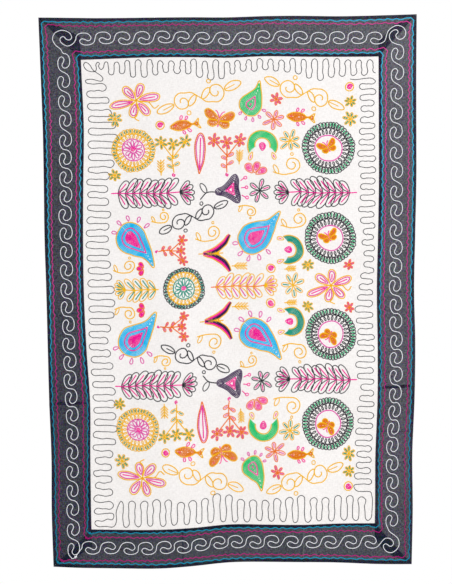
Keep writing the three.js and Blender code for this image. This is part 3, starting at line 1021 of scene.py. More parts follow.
# How many units each strip has, where the first and the last are centred, in mm from the strip's two
# ends, the share of its width at which they lie at evenly spaced places along it, and how many mm
# further along they were worked there than even spacing would put them.
SCROLL_RUNS = {
    TOP: (16, 125, 110, (0.50, 0.51, 0.54, 0.55, 0.56), (0, -1, 4, 11, 12, 5, 0)),
    BOTTOM: (16, 108, 118, (0.49, 0.51, 0.535, 0.515, 0.53), (0, 3, -3, -7, -11, -8, 0)),
    LEFT: (27, 121, 51, (0.56, 0.54, 0.535, 0.53, 0.535), (0, 9, 10, 7, 2, -5, -7, 0)),
    RIGHT: (26, 106, 119, (0.51, 0.55, 0.515, 0.545, 0.58), (0, 11, 20, 24, 21, 11, 0, 0)),
}
# The curls that carry the scroll round a corner, as mm in from the side edge and mm in from the level
# one. The left and the bottom strip meet in a knot instead, which the scroll leaves by its stalk.
TOP_LEFT_CURL = ((57, 86), (43, 74), (36, 58), (43, 42), (62, 34), (81, 40), (88, 52), (83, 60), (74, 59),
                 (67, 52), (60, 53), (56, 60), (61, 70), (76, 77), (90, 71))
TOP_RIGHT_CURL = ((77, 44), (63, 32), (50, 29), (36, 35), (29, 48), (33, 61), (44, 67), (53, 63), (56, 55),
                  (50, 47), (54, 41), (63, 42), (72, 51), (73, 62), (67, 73))
BOTTOM_RIGHT_CURL = ((65, 89), (51, 79), (41, 70), (37, 57), (40, 45), (50, 35), (62, 31), (74, 36), (81, 45),
                     (80, 53), (73, 55), (64, 49), (57, 50), (53, 58), (60, 68), (73, 71), (82, 66))
KNOT, KNOT_STALK, KNOT_APPROACH = (64, 28), (69, 37), (54, 24)


def scroll_run(side):
    """The scroll of one strip, travelling right or down."""
    count, start, end, shares, shifts = SCROLL_RUNS[side]
    pitch = (LENGTHS[side] - start - end) / (count - 1)
    points = []
    for index in range(count):
        along = start + pitch * index + between(shifts, index / (count - 1)) + HAND.uniform(*UNIT_ALONG)
        share = along / LENGTHS[side]
        inset = between(shares, share) * read(STRIPS, side, share) + HAND.uniform(*UNIT_ACROSS)
        size = np.array([pitch / UNIT_PITCH, HAND.uniform(*UNIT_HEIGHT)])
        unit = turned(SCROLL_UNIT * size, HAND.uniform(*UNIT_TURN))
        if side in (LEFT, RIGHT):
            unit = turned(unit, -90)
        points.append(unit[1 if index else 0:-1] + from_edge(side, along, inset))
    return np.vstack(points)


def scroll_lines():
    """The white running scroll, from the knot at the bottom left round to the knot again."""
    line = np.vstack([
        from_corner(LEFT, BOTTOM, (KNOT, KNOT_STALK)),
        scroll_run(BOTTOM),
        from_corner(RIGHT, BOTTOM, BOTTOM_RIGHT_CURL[::-1]),
        scroll_run(RIGHT)[-2::-1],
        from_corner(RIGHT, TOP, TOP_RIGHT_CURL[::-1]),
        scroll_run(TOP)[::-1],
        from_corner(LEFT, TOP, TOP_LEFT_CURL[::-1]),
        scroll_run(LEFT),
        from_corner(LEFT, BOTTOM, (KNOT_APPROACH, KNOT)),
    ])
    knot_x, knot_z = from_corner(LEFT, BOTTOM, (KNOT,))[0]
    return [Line("white", SCROLL_WIDTH, smooth(line, steps=6))] + dot("white", knot_x, knot_z, 3.6)


# Thread, mm in from the level edges and from the side edges (or, below 0, out from the seams), the
# wave length along level and side strips, half the wave's height, the width of the stitches, and how
# far the line swings out at a corner.
WAVES = (
    ("blue", 11.2, 9.8, 25.0, 24.0, 1.8, 3.4, 2.5),
    ("magenta", 20.6, 20.5, 20.0, 18.5, 2.0, 2.8, 4.0),
    ("magenta", -19.8, -18.6, 20.0, 18.5, 2.0, 2.8, 5.0),
    ("blue", -8.7, -9.0, 25.0, 24.0, 1.8, 3.4, 5.0),
)
CORNER_REACH = 15.0  # how far from a corner the swing starts
WAVE_STEP = 1.6  # mm between the points of a wave line
WAVE_GAP = 5.0  # mm from a corner to the first of them
WAVE_GROWTH = (8.0, 26.0)  # mm from a corner over which the waves grow to their full height
WAVE_LENGTHS, WAVE_HEIGHTS = (0.6, 1.4), (0.35, 1.3)  # least and most, in the usual ones
WAVE_KNOTS = ((-2, 1.5, 3.4), (4, -1, 2.8))  # mm right and up of where a line starts, and radius
DRIFT = 1.1  # how far a wave line drifts in and out as a whole
DRIFT_LENGTH = 130.0  # mm in a radian of that drift

# Painted light on the border's threads: how much paler, or deeper where below 0, their colour is made at
# evenly spaced places along each side, paler towards the top right and deeper towards the bottom left as the
# light falls off. The unevenness of the thread itself is about TONE_SPREAD.
PAINTED_LIGHT_ALONG_SIDES = {
    LEFT: (1.0, 3.0, 2.4, -4.5, -6.0),
    RIGHT: (6.0, 4.0, 0.0, -3.8, -6.0),
    TOP: (-1.5, -1.2, 0.5, 3.4, 6.0),
    BOTTOM: (-3.2, -2.0, -1.5, -0.6, -2.4),
}


def painted_light_on_border(places):
    """How much painted light pales, or deepens where below 0, the border's thread at places on the flat
    cloth; the sides blend at the corners.
    """
    x, z = places[:, 0], places[:, 1]
    down, across = -z / CLOTH_HEIGHT, (x + HALF_WIDTH) / CLOTH_WIDTH
    from_edges = {LEFT: (x + HALF_WIDTH, down), RIGHT: (HALF_WIDTH - x, down), TOP: (-z, across),
                  BOTTOM: (z + CLOTH_HEIGHT, across)}
    total, weights = 0, 0
    for side, (distance, share) in from_edges.items():
        weight = 1 / np.maximum(distance, CORNER_REACH) ** 2
        total = total + weight * between(PAINTED_LIGHT_ALONG_SIDES[side], share)
        weights = weights + weight
    return total / weights


def wave_side(side, level_inset, side_inset, wave_length, height, swing):
    """One side of a wave line, from corner to corner, travelling right or down."""
    inset, end_inset = (level_inset, side_inset) if side in (TOP, BOTTOM) else (side_inset, level_inset)
    first, last = seam_ends(side) if inset < 0 else (0, 0)
    length = LENGTHS[side]
    start, end = first + end_inset, length - last - end_inset
    along = np.arange(start + WAVE_GAP, end - WAVE_GAP, WAVE_STEP)
    inwards = np.full(len(along), float(inset))
    if inset < 0:
        inwards += read(STRIPS, side, along / length)
    count = int(2.6 * length / wave_length)  # of half waves, more than fit
    turns = start + np.cumsum(HAND.uniform(*WAVE_LENGTHS, count)) * wave_length / 2
    sways = height * HAND.uniform(*WAVE_HEIGHTS, count) * (-1) ** np.arange(count)
    turn = np.clip(np.searchsorted(turns, along), 1, count - 1)
    share = smoothstep(along, turns[turn - 1], turns[turn])
    from_end = np.minimum(along - start, end - along)
    sway = (sways[turn - 1] + (sways[turn] - sways[turn - 1]) * share) * smoothstep(from_end, *WAVE_GROWTH)
    inwards = inwards + sway + DRIFT * np.sin(along / DRIFT_LENGTH + HAND.uniform(0, 2 * math.pi))
    inwards -= swing * np.exp(-(from_end / CORNER_REACH) ** 2)
    return np.column_stack(from_edge(side, along, inwards))


def wave_lines():
    """The blue and magenta wave lines, each a closed frame that starts and ends in a knot."""
    lines = []
    for thread, level_inset, side_inset, level_wave, side_wave, height, width, swing in WAVES:
        sides = []
        for side, step in ((BOTTOM, 1), (RIGHT, -1), (TOP, -1), (LEFT, 1)):
            wave_length = level_wave if side in (TOP, BOTTOM) else side_wave
            sides.append(wave_side(side, level_inset, side_inset, wave_length, height, swing)[::step])
        line = np.vstack(sides + [sides[0][:1]])
        lines.append(Line(thread, width, smooth(line, steps=3)))
        knot_x, knot_z = sides[0][0]
        for right, up, radius in WAVE_KNOTS:
            lines += dot(thread, knot_x + right, knot_z + up, radius)
    return lines


# The meander starts at the top right and travels down, left, up and right. How it starts and how it
# turns each corner, as mm in from the side seam and the level seam there.
MEANDER_CURLS = {
    (RIGHT, TOP): ((78, 60), (62, 62), (35, 59), (19, 59)),
    (RIGHT, BOTTOM): ((48, 86), (15, 86), (9, 76), (7, 60), (8, 40), (9, 24), (11, 14)),
    (LEFT, BOTTOM): ((71, 50), (71, 24), (62, 8), (40, 9), (20, 8), (10, 16), (15, 24), (32, 23), (46, 29),
                     (58, 27), (64, 36), (57, 45), (18, 42)),
    (LEFT, TOP): ((16, 54), (29, 53), (51, 58), (58, 52), (53, 43), (37, 32), (30, 25), (23, 13), (12, 7),
                  (7, 16), (16, 29), (35, 32), (41, 25), (40, 13), (45, 6), (50, 10), (47, 17), (53, 26),
                  (60, 21), (63, 10)),
}
MEANDER_WIDTH = 2.5
# How unevenly its far and near turns lie in from the seam, in mm, and its turns and legs along it, in
# steps from one turn to the next.
FAR_UNEVEN, NEAR_UNEVEN, STEP_UNEVEN = (-4, 4), (-2.5, 3.5), 0.09
# For each side that it then travels, how far from the panel's corners its own turns start and end,
# whether it ends at the seam, the distance from one turn to the next but one, how far in from the seam
# the near turns lie, how much its loops widen at their far ends, and how far in the far turns lie at
# evenly spaced places on the way.
MEANDERS = {
    RIGHT: (66, 97, False, 30.5, 10.0, 0.02,
            (54, 50, 52, 58, 46, 52, 44, 37, 46, 60, 52, 64, 48, 58, 54, 56, 62)),
    BOTTOM: (20, 82, False, 33.4, 8.0, 0.09, (70, 76, 74, 79, 76, 66, 68, 88, 80, 74, 82, 80, 74)),
    LEFT: (50, 58, True, 34.4, 10.0, 0.03,
           (64, 58, 62, 78, 70, 71, 66, 60, 92, 80, 70, 69, 76, 68, 86, 94, 73, 66)),
    TOP: (66, 9, False, 30.1, 7.0, 0.04, (44, 46, 56, 42, 46, 64, 50, 38, 40, 39, 66, 52, 48, 47)),
}


def meander_side(side):
    """The turns and legs of one side of the meander, from a turn near the seam to its last."""
    start_gap, end_gap, ends_near, pitch, near, bulge, reaches = MEANDERS[side]
    first, last = seam_ends(side)
    start, end = first + start_gap, LENGTHS[side] - last - end_gap
    if side in (BOTTOM, LEFT):  # which it travels the other way, left or up
        start, end = LENGTHS[side] - last - start_gap, first + end_gap
    pairs = abs(end - start) / pitch
    count = 2 * round(pairs) if ends_near else 2 * round(pairs - 0.5) + 1
    turns = []
    for index in range(count + 1):
        share = index / count
        far = between(reaches, share)
        inset = far + HAND.uniform(*FAR_UNEVEN) if index % 2 else near + HAND.uniform(*NEAR_UNEVEN)
        share += HAND.uniform(-STEP_UNEVEN, STEP_UNEVEN) / count
        turns.append((start + (end - start) * share, inset))
    points = []
    for (along, inset), (next_along, next_inset) in zip(turns, turns[1:]):
        step, rise = next_along - along, next_inset - inset
        curve = abs(step) / 2 * np.sign(rise)
        widen = -bulge * np.sign(rise)
        first, lower, upper, last = HAND.uniform(-STEP_UNEVEN, STEP_UNEVEN, 4)
        points += [  # round out of the turn, along the leg and round into the next turn
            (along, inset),
            (along + (0.36 + widen / 2) * step, inset + 0.34 * curve),
            (along + (0.5 + first + max(widen, 0)) * step, inset + 1.2 * curve),
            (along + (0.5 + lower) * step, inset + rise * 0.4),
            (along + (0.5 + upper) * step, inset + rise * 0.6),
            (along + (0.5 + last + min(widen, 0)) * step, next_inset - 1.2 * curve),
            (along + (0.64 + widen / 2) * step, next_inset - 0.34 * curve),
        ]
    points.append(turns[-1])
    along, inset = np.array(points).T
    inset = inset + read(STRIPS, side, along / LENGTHS[side])
    return np.column_stack(from_edge(side, along, inset))


def meander_line():
    """The charcoal meander, from its loose start at the top right round the panel to the same corner."""
    line = []
    for (place, curl), side in zip(MEANDER_CURLS.items(), MEANDERS):
        line += [from_corner(*place, np.array(curl) + CORNERS[place]), meander_side(side)]
    return Line("charcoal", MEANDER_WIDTH, smooth(np.vstack(line), steps=6))


# --- Stitches -------------------------------------------------------------------------------------

LINK = 1.3  # length of a chain stitch's link, in widths of its row
RISE = 0.34  # height of a link above the cloth, in widths of its row
SUNK = 0.08  # how far the edge of a stitch is drawn down into the cloth, in mm
# A stitch's section, left to right: shares of half its width.
SECTION = np.array([-1, -0.52, 0, 0.52, 1])
ACROSS = len(SECTION)
# The same section's height, at the pinch where a link begins and at its full loop.
PINCH_HEIGHTS = np.array([0, 0.66, 0.62, 0.66, 0])
LOOP_HEIGHTS = np.array([0, 1, 0.42, 1, 0])
PINCH_WIDTH = 0.66
LOOP_AT = 0.6  # the share of a link at which its loop is fullest
HEADING_REACH = 0.35  # how far before and after a place its line's heading is taken, in widths
UNEVEN_WIDTHS, UNEVEN_HEIGHTS = (0.94, 1.06), (0.92, 1.08)  # least and most, in the usual ones
END_WIDTH, END_HEIGHT = 0.6, 0.4  # shares of the width and height at the two ends of a line
TONE_SPREAD = 0.3  # how unevenly a thread took its dye, from line to line and from place to place
REVERSE_WIDTH = 1.1  # width of the single thread on the reverse
REVERSE_RISE = 0.4
REVERSE_GAP = 0.12  # the share of a back stitch between it and the next

THREAD_MAP = "thread"  # places along and across a line of thread, in metres
BACK_PLACES = np.array([(-2, 0), (0, 0.5), (2, 0), (0, -0.5), (0, 0)])  # the same of a back stitch, in mm
TIPS = np.array([[0, 1, 4], [1, 2, 4], [2, 3, 4], [3, 0, 4]])  # faces of a stitch with four sides
TIP_POINTS = len(BACK_PLACES)
SPOOL = 1000  # mm of thread that the back stitches are taken from


def chain_sections(line):
    """Sections along one line of chain stitch: middles and right-hand directions on the flat cloth,
    distances along it, half widths and heights."""
    along = arc_lengths(line.points)
    count = max(1, int(round(along[-1] / (LINK * line.width))))
    links = np.arange(count)
    at = np.concatenate([np.column_stack([links, links + LOOP_AT]).ravel(), [count]]) * along[-1] / count
    middles = points_at(line.points, along, at)
    reach = HEADING_REACH * line.width
    ahead = points_at(line.points, along, at + reach) - points_at(line.points, along, at - reach)
    ahead /= np.linalg.norm(ahead, axis=1)[:, None] + TINY
    is_loop = np.arange(len(at)) % 2 == 1
    half = np.where(is_loop, 1.0, PINCH_WIDTH) * line.width / 2 * HAND.uniform(*UNEVEN_WIDTHS, len(at))
    half[[0, -1]] *= END_WIDTH
    heights = np.where(is_loop[:, None], LOOP_HEIGHTS, PINCH_HEIGHTS) * RISE * line.width
    heights = heights * HAND.uniform(*UNEVEN_HEIGHTS, len(at))[:, None]
    heights[[0, -1]] *= END_HEIGHT
    return middles, right_of(ahead), at, half, heights


def lozenges(middle, ahead, aside):
    """The corners of short four-sided stitches, and their middles."""
    return np.stack([middle - ahead, middle + aside, middle + ahead, middle - aside, middle], axis=1)


def stitch_mesh(name, lines, faces, dye=None):
    """One thread's stitches: chain stitches on the face, and a back stitch behind every link. `faces`
    gives the heights of the cloth and `dye`, if any, the painted light that makes the thread paler or deeper,
    place by place."""
    flat, outs, quads, along_across, tones, dashes = [], [], [], [], [], []
    start = 0
    for line in lines:
        middles, right, at, half, heights = chain_sections(line)
        sections = len(at)
        offsets = half[:, None] * SECTION
        flat.append((middles[:, None, :] + right[:, None, :] * offsets[..., None]).reshape(-1, 2))
        outs.append((heights - SUNK * (heights == 0)).ravel())
        lengths = np.repeat(at[:, None], ACROSS, axis=1)
        along_across.append(np.stack([lengths, offsets], axis=-1).reshape(-1, 2))
        tone = HAND.normal(0, TONE_SPREAD) + HAND.normal(0, TONE_SPREAD, sections)
        # The border's threads also take painted light here: paler towards the top right, deeper towards the
        # bottom left.
        tones.append(np.repeat(tone + (dye(middles) if dye else 0), ACROSS))
        corner = start + (np.arange(sections - 1) * ACROSS)[:, None] + np.arange(ACROSS - 1)
        following = corner + ACROSS
        quads.append(np.stack([corner, corner + 1, following + 1, following], axis=-1).reshape(-1, 4))
        start += sections * ACROSS
        dashes.append(np.stack([middles[:-2:2], middles[2::2]], axis=1))
    flat, outs, dashes = np.concatenate(flat), np.concatenate(outs), np.concatenate(dashes)
    face, _ = faces(flat[:, 0], flat[:, 1])
    front = on_cloth(flat[:, 0], flat[:, 1], face + outs)
    quads = np.concatenate(quads)

    middle = dashes.mean(axis=1)
    ahead = (dashes[:, 1] - dashes[:, 0]) * (1 - REVERSE_GAP) / 2
    aside = right_of(ahead)
    aside *= REVERSE_WIDTH / 2 / (np.linalg.norm(aside, axis=1)[:, None] + TINY)
    rim = lozenges(middle, ahead, aside)
    _, reverse = faces(rim[..., 0], rim[..., 1])
    sink = np.array([SUNK, SUNK, SUNK, SUNK, -REVERSE_RISE])
    back = on_cloth(rim[..., 0], rim[..., 1], reverse + sink)
    tips = start + (np.arange(len(dashes)) * TIP_POINTS)[:, None, None] + TIPS[:, ::-1]

    mesh = bpy.data.meshes.new(name)
    points = np.concatenate([front, back.reshape(-1, 3)])
    mesh.from_pydata(points.tolist(), [], quads.tolist() + tips.reshape(-1, 3).tolist())

    back_lengths = np.repeat(HAND.uniform(0, SPOOL, len(dashes)), TIP_POINTS)
    back_places = np.column_stack([back_lengths, np.zeros(len(back_lengths))])
    back_places += np.tile(BACK_PLACES, (len(dashes), 1))
    places = np.concatenate(along_across + [back_places]) * MM
    corners = np.concatenate([quads.ravel(), tips.ravel()])
    add_map(mesh, THREAD_MAP, places[corners])
    add_map(mesh, BAKE_MAP, bake_places(len(quads), len(dashes)))
    tone = np.concatenate(tones + [HAND.normal(0, TONE_SPREAD, len(back_lengths))])
    mesh.attributes.new("tone", "FLOAT", "POINT").data.foreach_set("value", tone.astype(np.float32))
    return mesh


def bake_places(quads, dashes):
    """A map in which each gap between two sections, and each back stitch, has a cell of its own."""
    lanes = ACROSS - 1
    gaps = quads // lanes
    columns = math.ceil(math.sqrt(gaps + dashes))
    cells = np.arange(gaps + dashes)
    lowest = np.column_stack([cells % columns, cells // columns]).astype(float)
    lane = np.array([(0, 0), (0, 1), (1, 1), (1, 0)]) + np.arange(lanes)[:, None, None] * (0, 1)
    lane = lane / (1, lanes)
    rim = np.array([(0, 0.5), (0.5, 0), (1, 0.5), (0.5, 1), (0.5, 0.5)])
    tips = rim[TIPS[:, ::-1]]
    front = lowest[:gaps, None, None, :] + lane
    back = lowest[gaps:, None, None, :] + tips
    return np.concatenate([front.reshape(-1, 2), back.reshape(-1, 2)]) / columns


SEWING_LENGTH, SEWING_WIDTH, SEWING_RISE = 3.0, 0.5, 0.16  # of a running stitch
SEWING_STEP = 1.6  # from one to the next, in lengths
SEWING_PLACES = np.array([(-0.5, 0), (0, -0.2), (0.5, 0), (0, 0.2), (0, 0)])  # on the thread, in lengths


def running_stitches(name, paths):
    """Small plain stitches along lines on the face of the strips, as one mesh."""
    middles, aheads = [], []
    for points in paths:
        marks = resampled(points, SEWING_LENGTH * SEWING_STEP)
        middles.append((marks[1:] + marks[:-1]) / 2)
        step = marks[1:] - marks[:-1]
        aheads.append(step / np.linalg.norm(step, axis=1)[:, None] * SEWING_LENGTH / 2)
    middle, ahead = np.concatenate(middles), np.concatenate(aheads)
    rim = lozenges(middle, ahead, right_of(ahead) * SEWING_WIDTH / SEWING_LENGTH)
    face, _ = strip_faces(rim[..., 0], rim[..., 1])
    points = on_cloth(rim[..., 0], rim[..., 1], face + np.array([-SUNK, -SUNK, -SUNK, -SUNK, SEWING_RISE]))
    tips = (np.arange(len(middle)) * TIP_POINTS)[:, None, None] + TIPS
    mesh = bpy.data.meshes.new(name)
    mesh.from_pydata(points.reshape(-1, 3).tolist(), [], tips.reshape(-1, 3).tolist())
    places = SEWING_PLACES * SEWING_LENGTH * MM
    add_map(mesh, THREAD_MAP, np.tile(places[TIPS].reshape(-1, 2), (len(middle), 1)))
    mesh.attributes.new("tone", "FLOAT", "POINT")
    return mesh


# --- Materials ------------------------------------------------------------------------------------

def add_node(tree, kind, inputs=(), **settings):
    """A new node with its settings. An input takes a value, or the output that it is linked to."""
    node = tree.nodes.new(kind)
    for name, value in settings.items():
        setattr(node, name, value)
    for key, value in dict(inputs).items():
        if isinstance(value, bpy.types.NodeSocket):
            tree.links.new(value, node.inputs[key])
        else:
            node.inputs[key].default_value = value
    return node


def calculated(tree, operation, *values, **settings):
    """The output of a sum or another calculation with up to three values."""
    return add_node(tree, "ShaderNodeMath", enumerate(values), operation=operation, **settings).outputs[0]


def noise(tree, places, scale, detail, **inputs):
    """Soft cloudy noise, with `scale` clouds to a unit of the places."""
    inputs = {"Vector": places, "Scale": scale, "Detail": detail, **inputs}
    return add_node(tree, "ShaderNodeTexNoise", inputs)


def blend(tree, share, first, second, **settings):
    """A colour between two others."""
    return add_node(tree, "ShaderNodeMix", {0: share, 6: first, 7: second}, data_type="RGBA",
                    **settings).outputs[2]


def ranged(tree, value, start, end, **settings):
    """A value as a share of the way from one to another."""
    return add_node(tree, "ShaderNodeMapRange", {"Value": value, "From Min": start, "From Max": end},
                    **settings).outputs[0]


def bumps(tree, height, strength, distance, under=None):
    """The normals of bumps that rise `distance` metres at a height of 1, on top of others or none."""
    inputs = {"Height": height, "Strength": strength, "Distance": distance}
    if under is not None:
        inputs["Normal"] = under
    return add_node(tree, "ShaderNodeBump", inputs).outputs[0]


def surface(name, sockets):
    """A new material with its node tree and its Principled shader, some sockets of which are set."""
    material = bpy.data.materials.new(name)
    material.use_nodes = True
    shader = material.node_tree.nodes["Principled BSDF"]
    for socket, value in sockets.items():
        shader.inputs[socket].default_value = value
    return material, material.node_tree, shader


def dress(tree, shader, **outputs):
    """Link outputs to the shader's sockets, in whose names an underscore stands for a space."""
    for socket, output in outputs.items():
        tree.links.new(output, shader.inputs[socket.replace("_", " ")])


def woven(tree, places, spacing, unevenness):
    """The height of a plain weave from 0 to 1: at each crossing the warp or the weft lies on top."""
    threads = add_node(tree, "ShaderNodeVectorMath", {0: places, "Scale": 1 / spacing}, operation="SCALE")
    ridges = {"Vector": threads.outputs[0], "Scale": math.pi / 10, "Distortion": unevenness, "Detail": 1.0,
              "Detail Scale": 0.5}
    warp = add_node(tree, "ShaderNodeTexWave", ridges, bands_direction="X")
    weft = add_node(tree, "ShaderNodeTexWave", ridges, bands_direction="Y")
    crossing = add_node(tree, "ShaderNodeTexChecker", {"Vector": threads.outputs[0], "Scale": 1.0})
    over = add_node(tree, "ShaderNodeMix", {0: crossing.outputs["Fac"], 2: warp.outputs["Fac"],
                                           3: weft.outputs["Fac"]})
    return over.outputs[0]


def slubs(tree, places, along, across):
    """Threads of uneven thickness, 0 to 1: noise drawn out along the weft and along the warp."""
    streaks = []
    for stretch in ((1 / along, 1 / across, 1), (1 / across, 1 / along, 1)):
        stretched = add_node(tree, "ShaderNodeVectorMath", {0: places, 1: stretch}, operation="MULTIPLY")
        streaks.append(noise(tree, stretched.outputs[0], 1.0, 2.0).outputs["Fac"])
    return calculated(tree, "MULTIPLY", calculated(tree, "ADD", *streaks), 0.5)


def plain_cotton(settings):
    """Plain-woven cream cotton sheeting: matt, with an even weave, yarns that are a little darker or
    paler than the rest, a few slubs and soft crumples. Its threads lie 0.45 mm apart, drawn 1.1 mm
    apart so that they show."""
    material, tree, shader = surface("plain_cotton", {"Roughness": 0.85, "Sheen Weight": 0.15,
                                                      "Sheen Roughness": 0.5, "Specular IOR Level": 0.25})
    places = add_node(tree, "ShaderNodeUVMap", uv_map=CLOTH_MAP).outputs["UV"]
    weave = woven(tree, places, settings.cotton_spacing, unevenness=1.0)
    uneven = slubs(tree, places, along=0.06, across=0.002)
    mottle = noise(tree, places, 7.0, 4.0, Roughness=0.6)
    crumple = noise(tree, places, 38.0, 3.0, Roughness=0.55, Distortion=0.6)
    share = ranged(tree, calculated(tree, "ADD", uneven, mottle.outputs["Fac"]), 0.7, 1.3)
    mixed = blend(tree, share, settings.cotton_shade, settings.cotton_colour)
    yarns = slubs(tree, places, along=0.010, across=0.0023)
    colour = blend(tree, settings.cotton_yarns, mixed, yarns, blend_type="LINEAR_LIGHT")
    crumpled = bumps(tree, crumple.outputs["Fac"], 0.5, 0.0009)
    slubbed = bumps(tree, uneven, 0.5, 0.0002, crumpled)
    dress(tree, shader, Base_Color=colour, Normal=bumps(tree, weave, 0.5, 0.00022, slubbed))
    return material


def sheer_voile(settings, side, name):
    """Plain-woven cotton voile: an open weave of fine dyed threads that lets a little light through
    between them, and less where it is doubled. It is less open towards the bottom and the left of each strip
    and lets less white through there, which is painted shade, and each strip is also painted paler by its own
    amount, most on the right and least at the bottom, as painted light. Its yarn is uneven and took the dye
    unevenly, some bluer and some redder, which gives it a speckled look. Its threads lie 0.35 mm apart, drawn
    0.9 mm apart so that they show."""
    material, tree, shader = surface(name, {"Roughness": 0.85, "Sheen Weight": 0.02, "Sheen Roughness": 0.4,
                                            "Specular IOR Level": 0.05})
    places = add_node(tree, "ShaderNodeUVMap", uv_map=CLOTH_MAP).outputs["UV"]
    weave = woven(tree, places, settings.voile_spacing, unevenness=1.4)
    uneven = slubs(tree, places, along=0.09, across=0.003)
    mottle = noise(tree, places, 9.0, 3.0)
    grain = noise(tree, places, 300.0, 2.0)
    worn = calculated(tree, "MULTIPLY_ADD", uneven, 1.6, mottle.outputs["Fac"])
    # Painted light: each strip is shifted towards the paler colour by its own amount, most on the right and
    # least at the bottom.
    painted_light_per_strip = settings.painted_light_per_strip[side - 1]
    share = ranged(tree, worn, 1.3 - painted_light_per_strip, 2.3 - painted_light_per_strip)
    mixed = blend(tree, share, settings.voile_colour, settings.voile_worn)
    speckle = add_node(tree, "ShaderNodeVectorMath", {0: grain.outputs["Color"], 1: (3.2,) * 3,
                                                      2: (-1.1,) * 3}, operation="MULTIPLY_ADD")
    colour = blend(tree, settings.speckle, mixed, speckle.outputs[0], blend_type="OVERLAY")
    slubbed = bumps(tree, uneven, 0.5, 0.0003)
    dress(tree, shader, Base_Color=colour, Normal=bumps(tree, weave, 0.6, 0.0002, slubbed),
          Alpha=closeness_and_painted_shade(tree, places, settings, side))
    return material


# Yarns across a strip that are missing, and look pale, or doubled, and look dark: mm down the strip or
# right of the middle, and how much closer the weave is there.
ODD_YARNS = {
    LEFT: ((249, -0.06),),
    RIGHT: ((1136, 0.12), (1215, -0.07)),
    TOP: ((-213, -0.08),),
    BOTTOM: ((-141, 0.15), (202, -0.07)),
}
YARN_HALF = 1.6  # half the width of an odd yarn in mm, drawn four times as wide so that it shows


def closeness_and_painted_shade(tree, places, settings, side):
    """How close the voile's weave is. It closes evenly from one end of a strip to the other, towards the
    bottom and the left, by a different amount on each strip: painted shade, which lets less white through
    there. Its yarns are closer here and further apart there. A layer has two faces, so each lets the root of
    the layer's share past."""
    first, last = (1 - math.sqrt(leaks[side - 1]) for leaks in (settings.leaks_first, settings.leaks_last))
    unevenness = settings.grain[side - 1]
    if side in (LEFT, RIGHT):
        axis, slope, start = (0.0, -1 / MM, 0.0), (last - first) / CLOTH_HEIGHT, first
    else:
        axis, slope, start = (1 / MM, 0.0, 0.0), (last - first) / CLOTH_WIDTH, (first + last) / 2
    along = add_node(tree, "ShaderNodeVectorMath", {0: places, 1: axis}, operation="DOT_PRODUCT")
    along = along.outputs["Value"]
    # Painted shade: the even slope from one end of the strip to the other.
    close = calculated(tree, "MULTIPLY_ADD", along, slope, start - unevenness / 2)
    for at, change in ODD_YARNS[side]:
        here = calculated(tree, "COMPARE", along, at, YARN_HALF)
        close = calculated(tree, "MULTIPLY_ADD", here, change, close)
    uneven = slubs(tree, places, along=0.008, across=0.0020)
    return calculated(tree, "MULTIPLY_ADD", uneven, unevenness, close)


def stranded_thread(settings, name, colour):
    """Stranded rayon and cotton embroidery thread: twisted strands with a soft sheen along them, a
    little paler on their crowns by a painted highlight and deeper in the grooves by painted shade, though
    white thread is white there too, and no two lengths dyed quite alike. Its strands lie 0.5 mm apart, drawn
    0.8 mm apart so that they show."""
    material, tree, shader = surface("stranded_thread_" + name,
                                     {"Roughness": 0.55, "Sheen Weight": 0.03, "Sheen Roughness": 0.35,
                                      "Specular IOR Level": 0.15})
    places = add_node(tree, "ShaderNodeUVMap", uv_map=THREAD_MAP).outputs["UV"]
    twist = add_node(tree, "ShaderNodeTexWave", {"Vector": places, "Scale": 0.2 * math.pi / settings.twist,
                                                 "Distortion": 0.7, "Detail": 1.0},
                     bands_direction="DIAGONAL")
    fibres = noise(tree, places, 900.0, 2.0)
    tone = add_node(tree, "ShaderNodeAttribute", attribute_name="tone")
    # Painted shade and highlight: the twist deepens the colour in its grooves and pales it on its crowns, on
    # top of the thread's uneven dye and, on the border, its painted light, both carried in tone.
    grooves = calculated(tree, "MULTIPLY_ADD", twist.outputs["Fac"], 0.35, tone.outputs["Fac"])
    share = ranged(tree, grooves, -0.9, 1.25, clamp=False)
    groove_shade_and_deep_dye = 1 - (1 - settings.groove_shade_and_deep_dye) * (1 - min(colour[:3]))
    deep = [v * groove_shade_and_deep_dye for v in colour[:3]] + [1.0]
    pale = [v + (1 - v) * settings.crown_highlight_and_pale_dye for v in colour[:3]] + [1.0]
    mixed = blend(tree, share, deep, pale, clamp_factor=False, clamp_result=True)
    rough = calculated(tree, "MULTIPLY_ADD", twist.outputs["Fac"], 0.6, fibres.outputs["Fac"])
    dress(tree, shader, Base_Color=mixed, Normal=bumps(tree, rough, 0.6, 0.00025))
    return material


def matt_paint(settings):
    """The studio floor: pale matt paint with the faint mottling of a roller."""
    material, tree, shader = surface("matt_paint", {"Roughness": 0.7})
    mottle = add_node(tree, "ShaderNodeTexNoise", {"Scale": 3.0, "Detail": 4.0})
    colour = blend(tree, mottle.outputs["Fac"], settings.floor_shade, settings.floor_colour)
    dress(tree, shader, Base_Color=colour)
    return material


# --- Settings -------------------------------------------------------------------------------------

def colour_setting(name, description, default):
    """A colour, with its default as sRGB hex."""
    return FloatVectorProperty(name=name, description=description, subtype="COLOR", size=4, min=0, max=1,
                               default=linear(default))


def length_setting(name, description, default):
    """A length, with its default in metres."""
    return FloatProperty(name=name, description=description, unit="LENGTH", default=default, min=0.0001,
                         precision=5)


def share_setting(name, description, default):
    """A share from 0 to 1."""
    return FloatProperty(name=name, description=description, subtype="FACTOR", min=0, max=1,
                         default=default)


def strips_setting(name, description, default):
    """Four shares from 0 to 1, one for each strip."""
    return FloatVectorProperty(name=name, description=description + " (left, right, top, bottom strip)",
                               size=4, min=0, max=1, default=default)


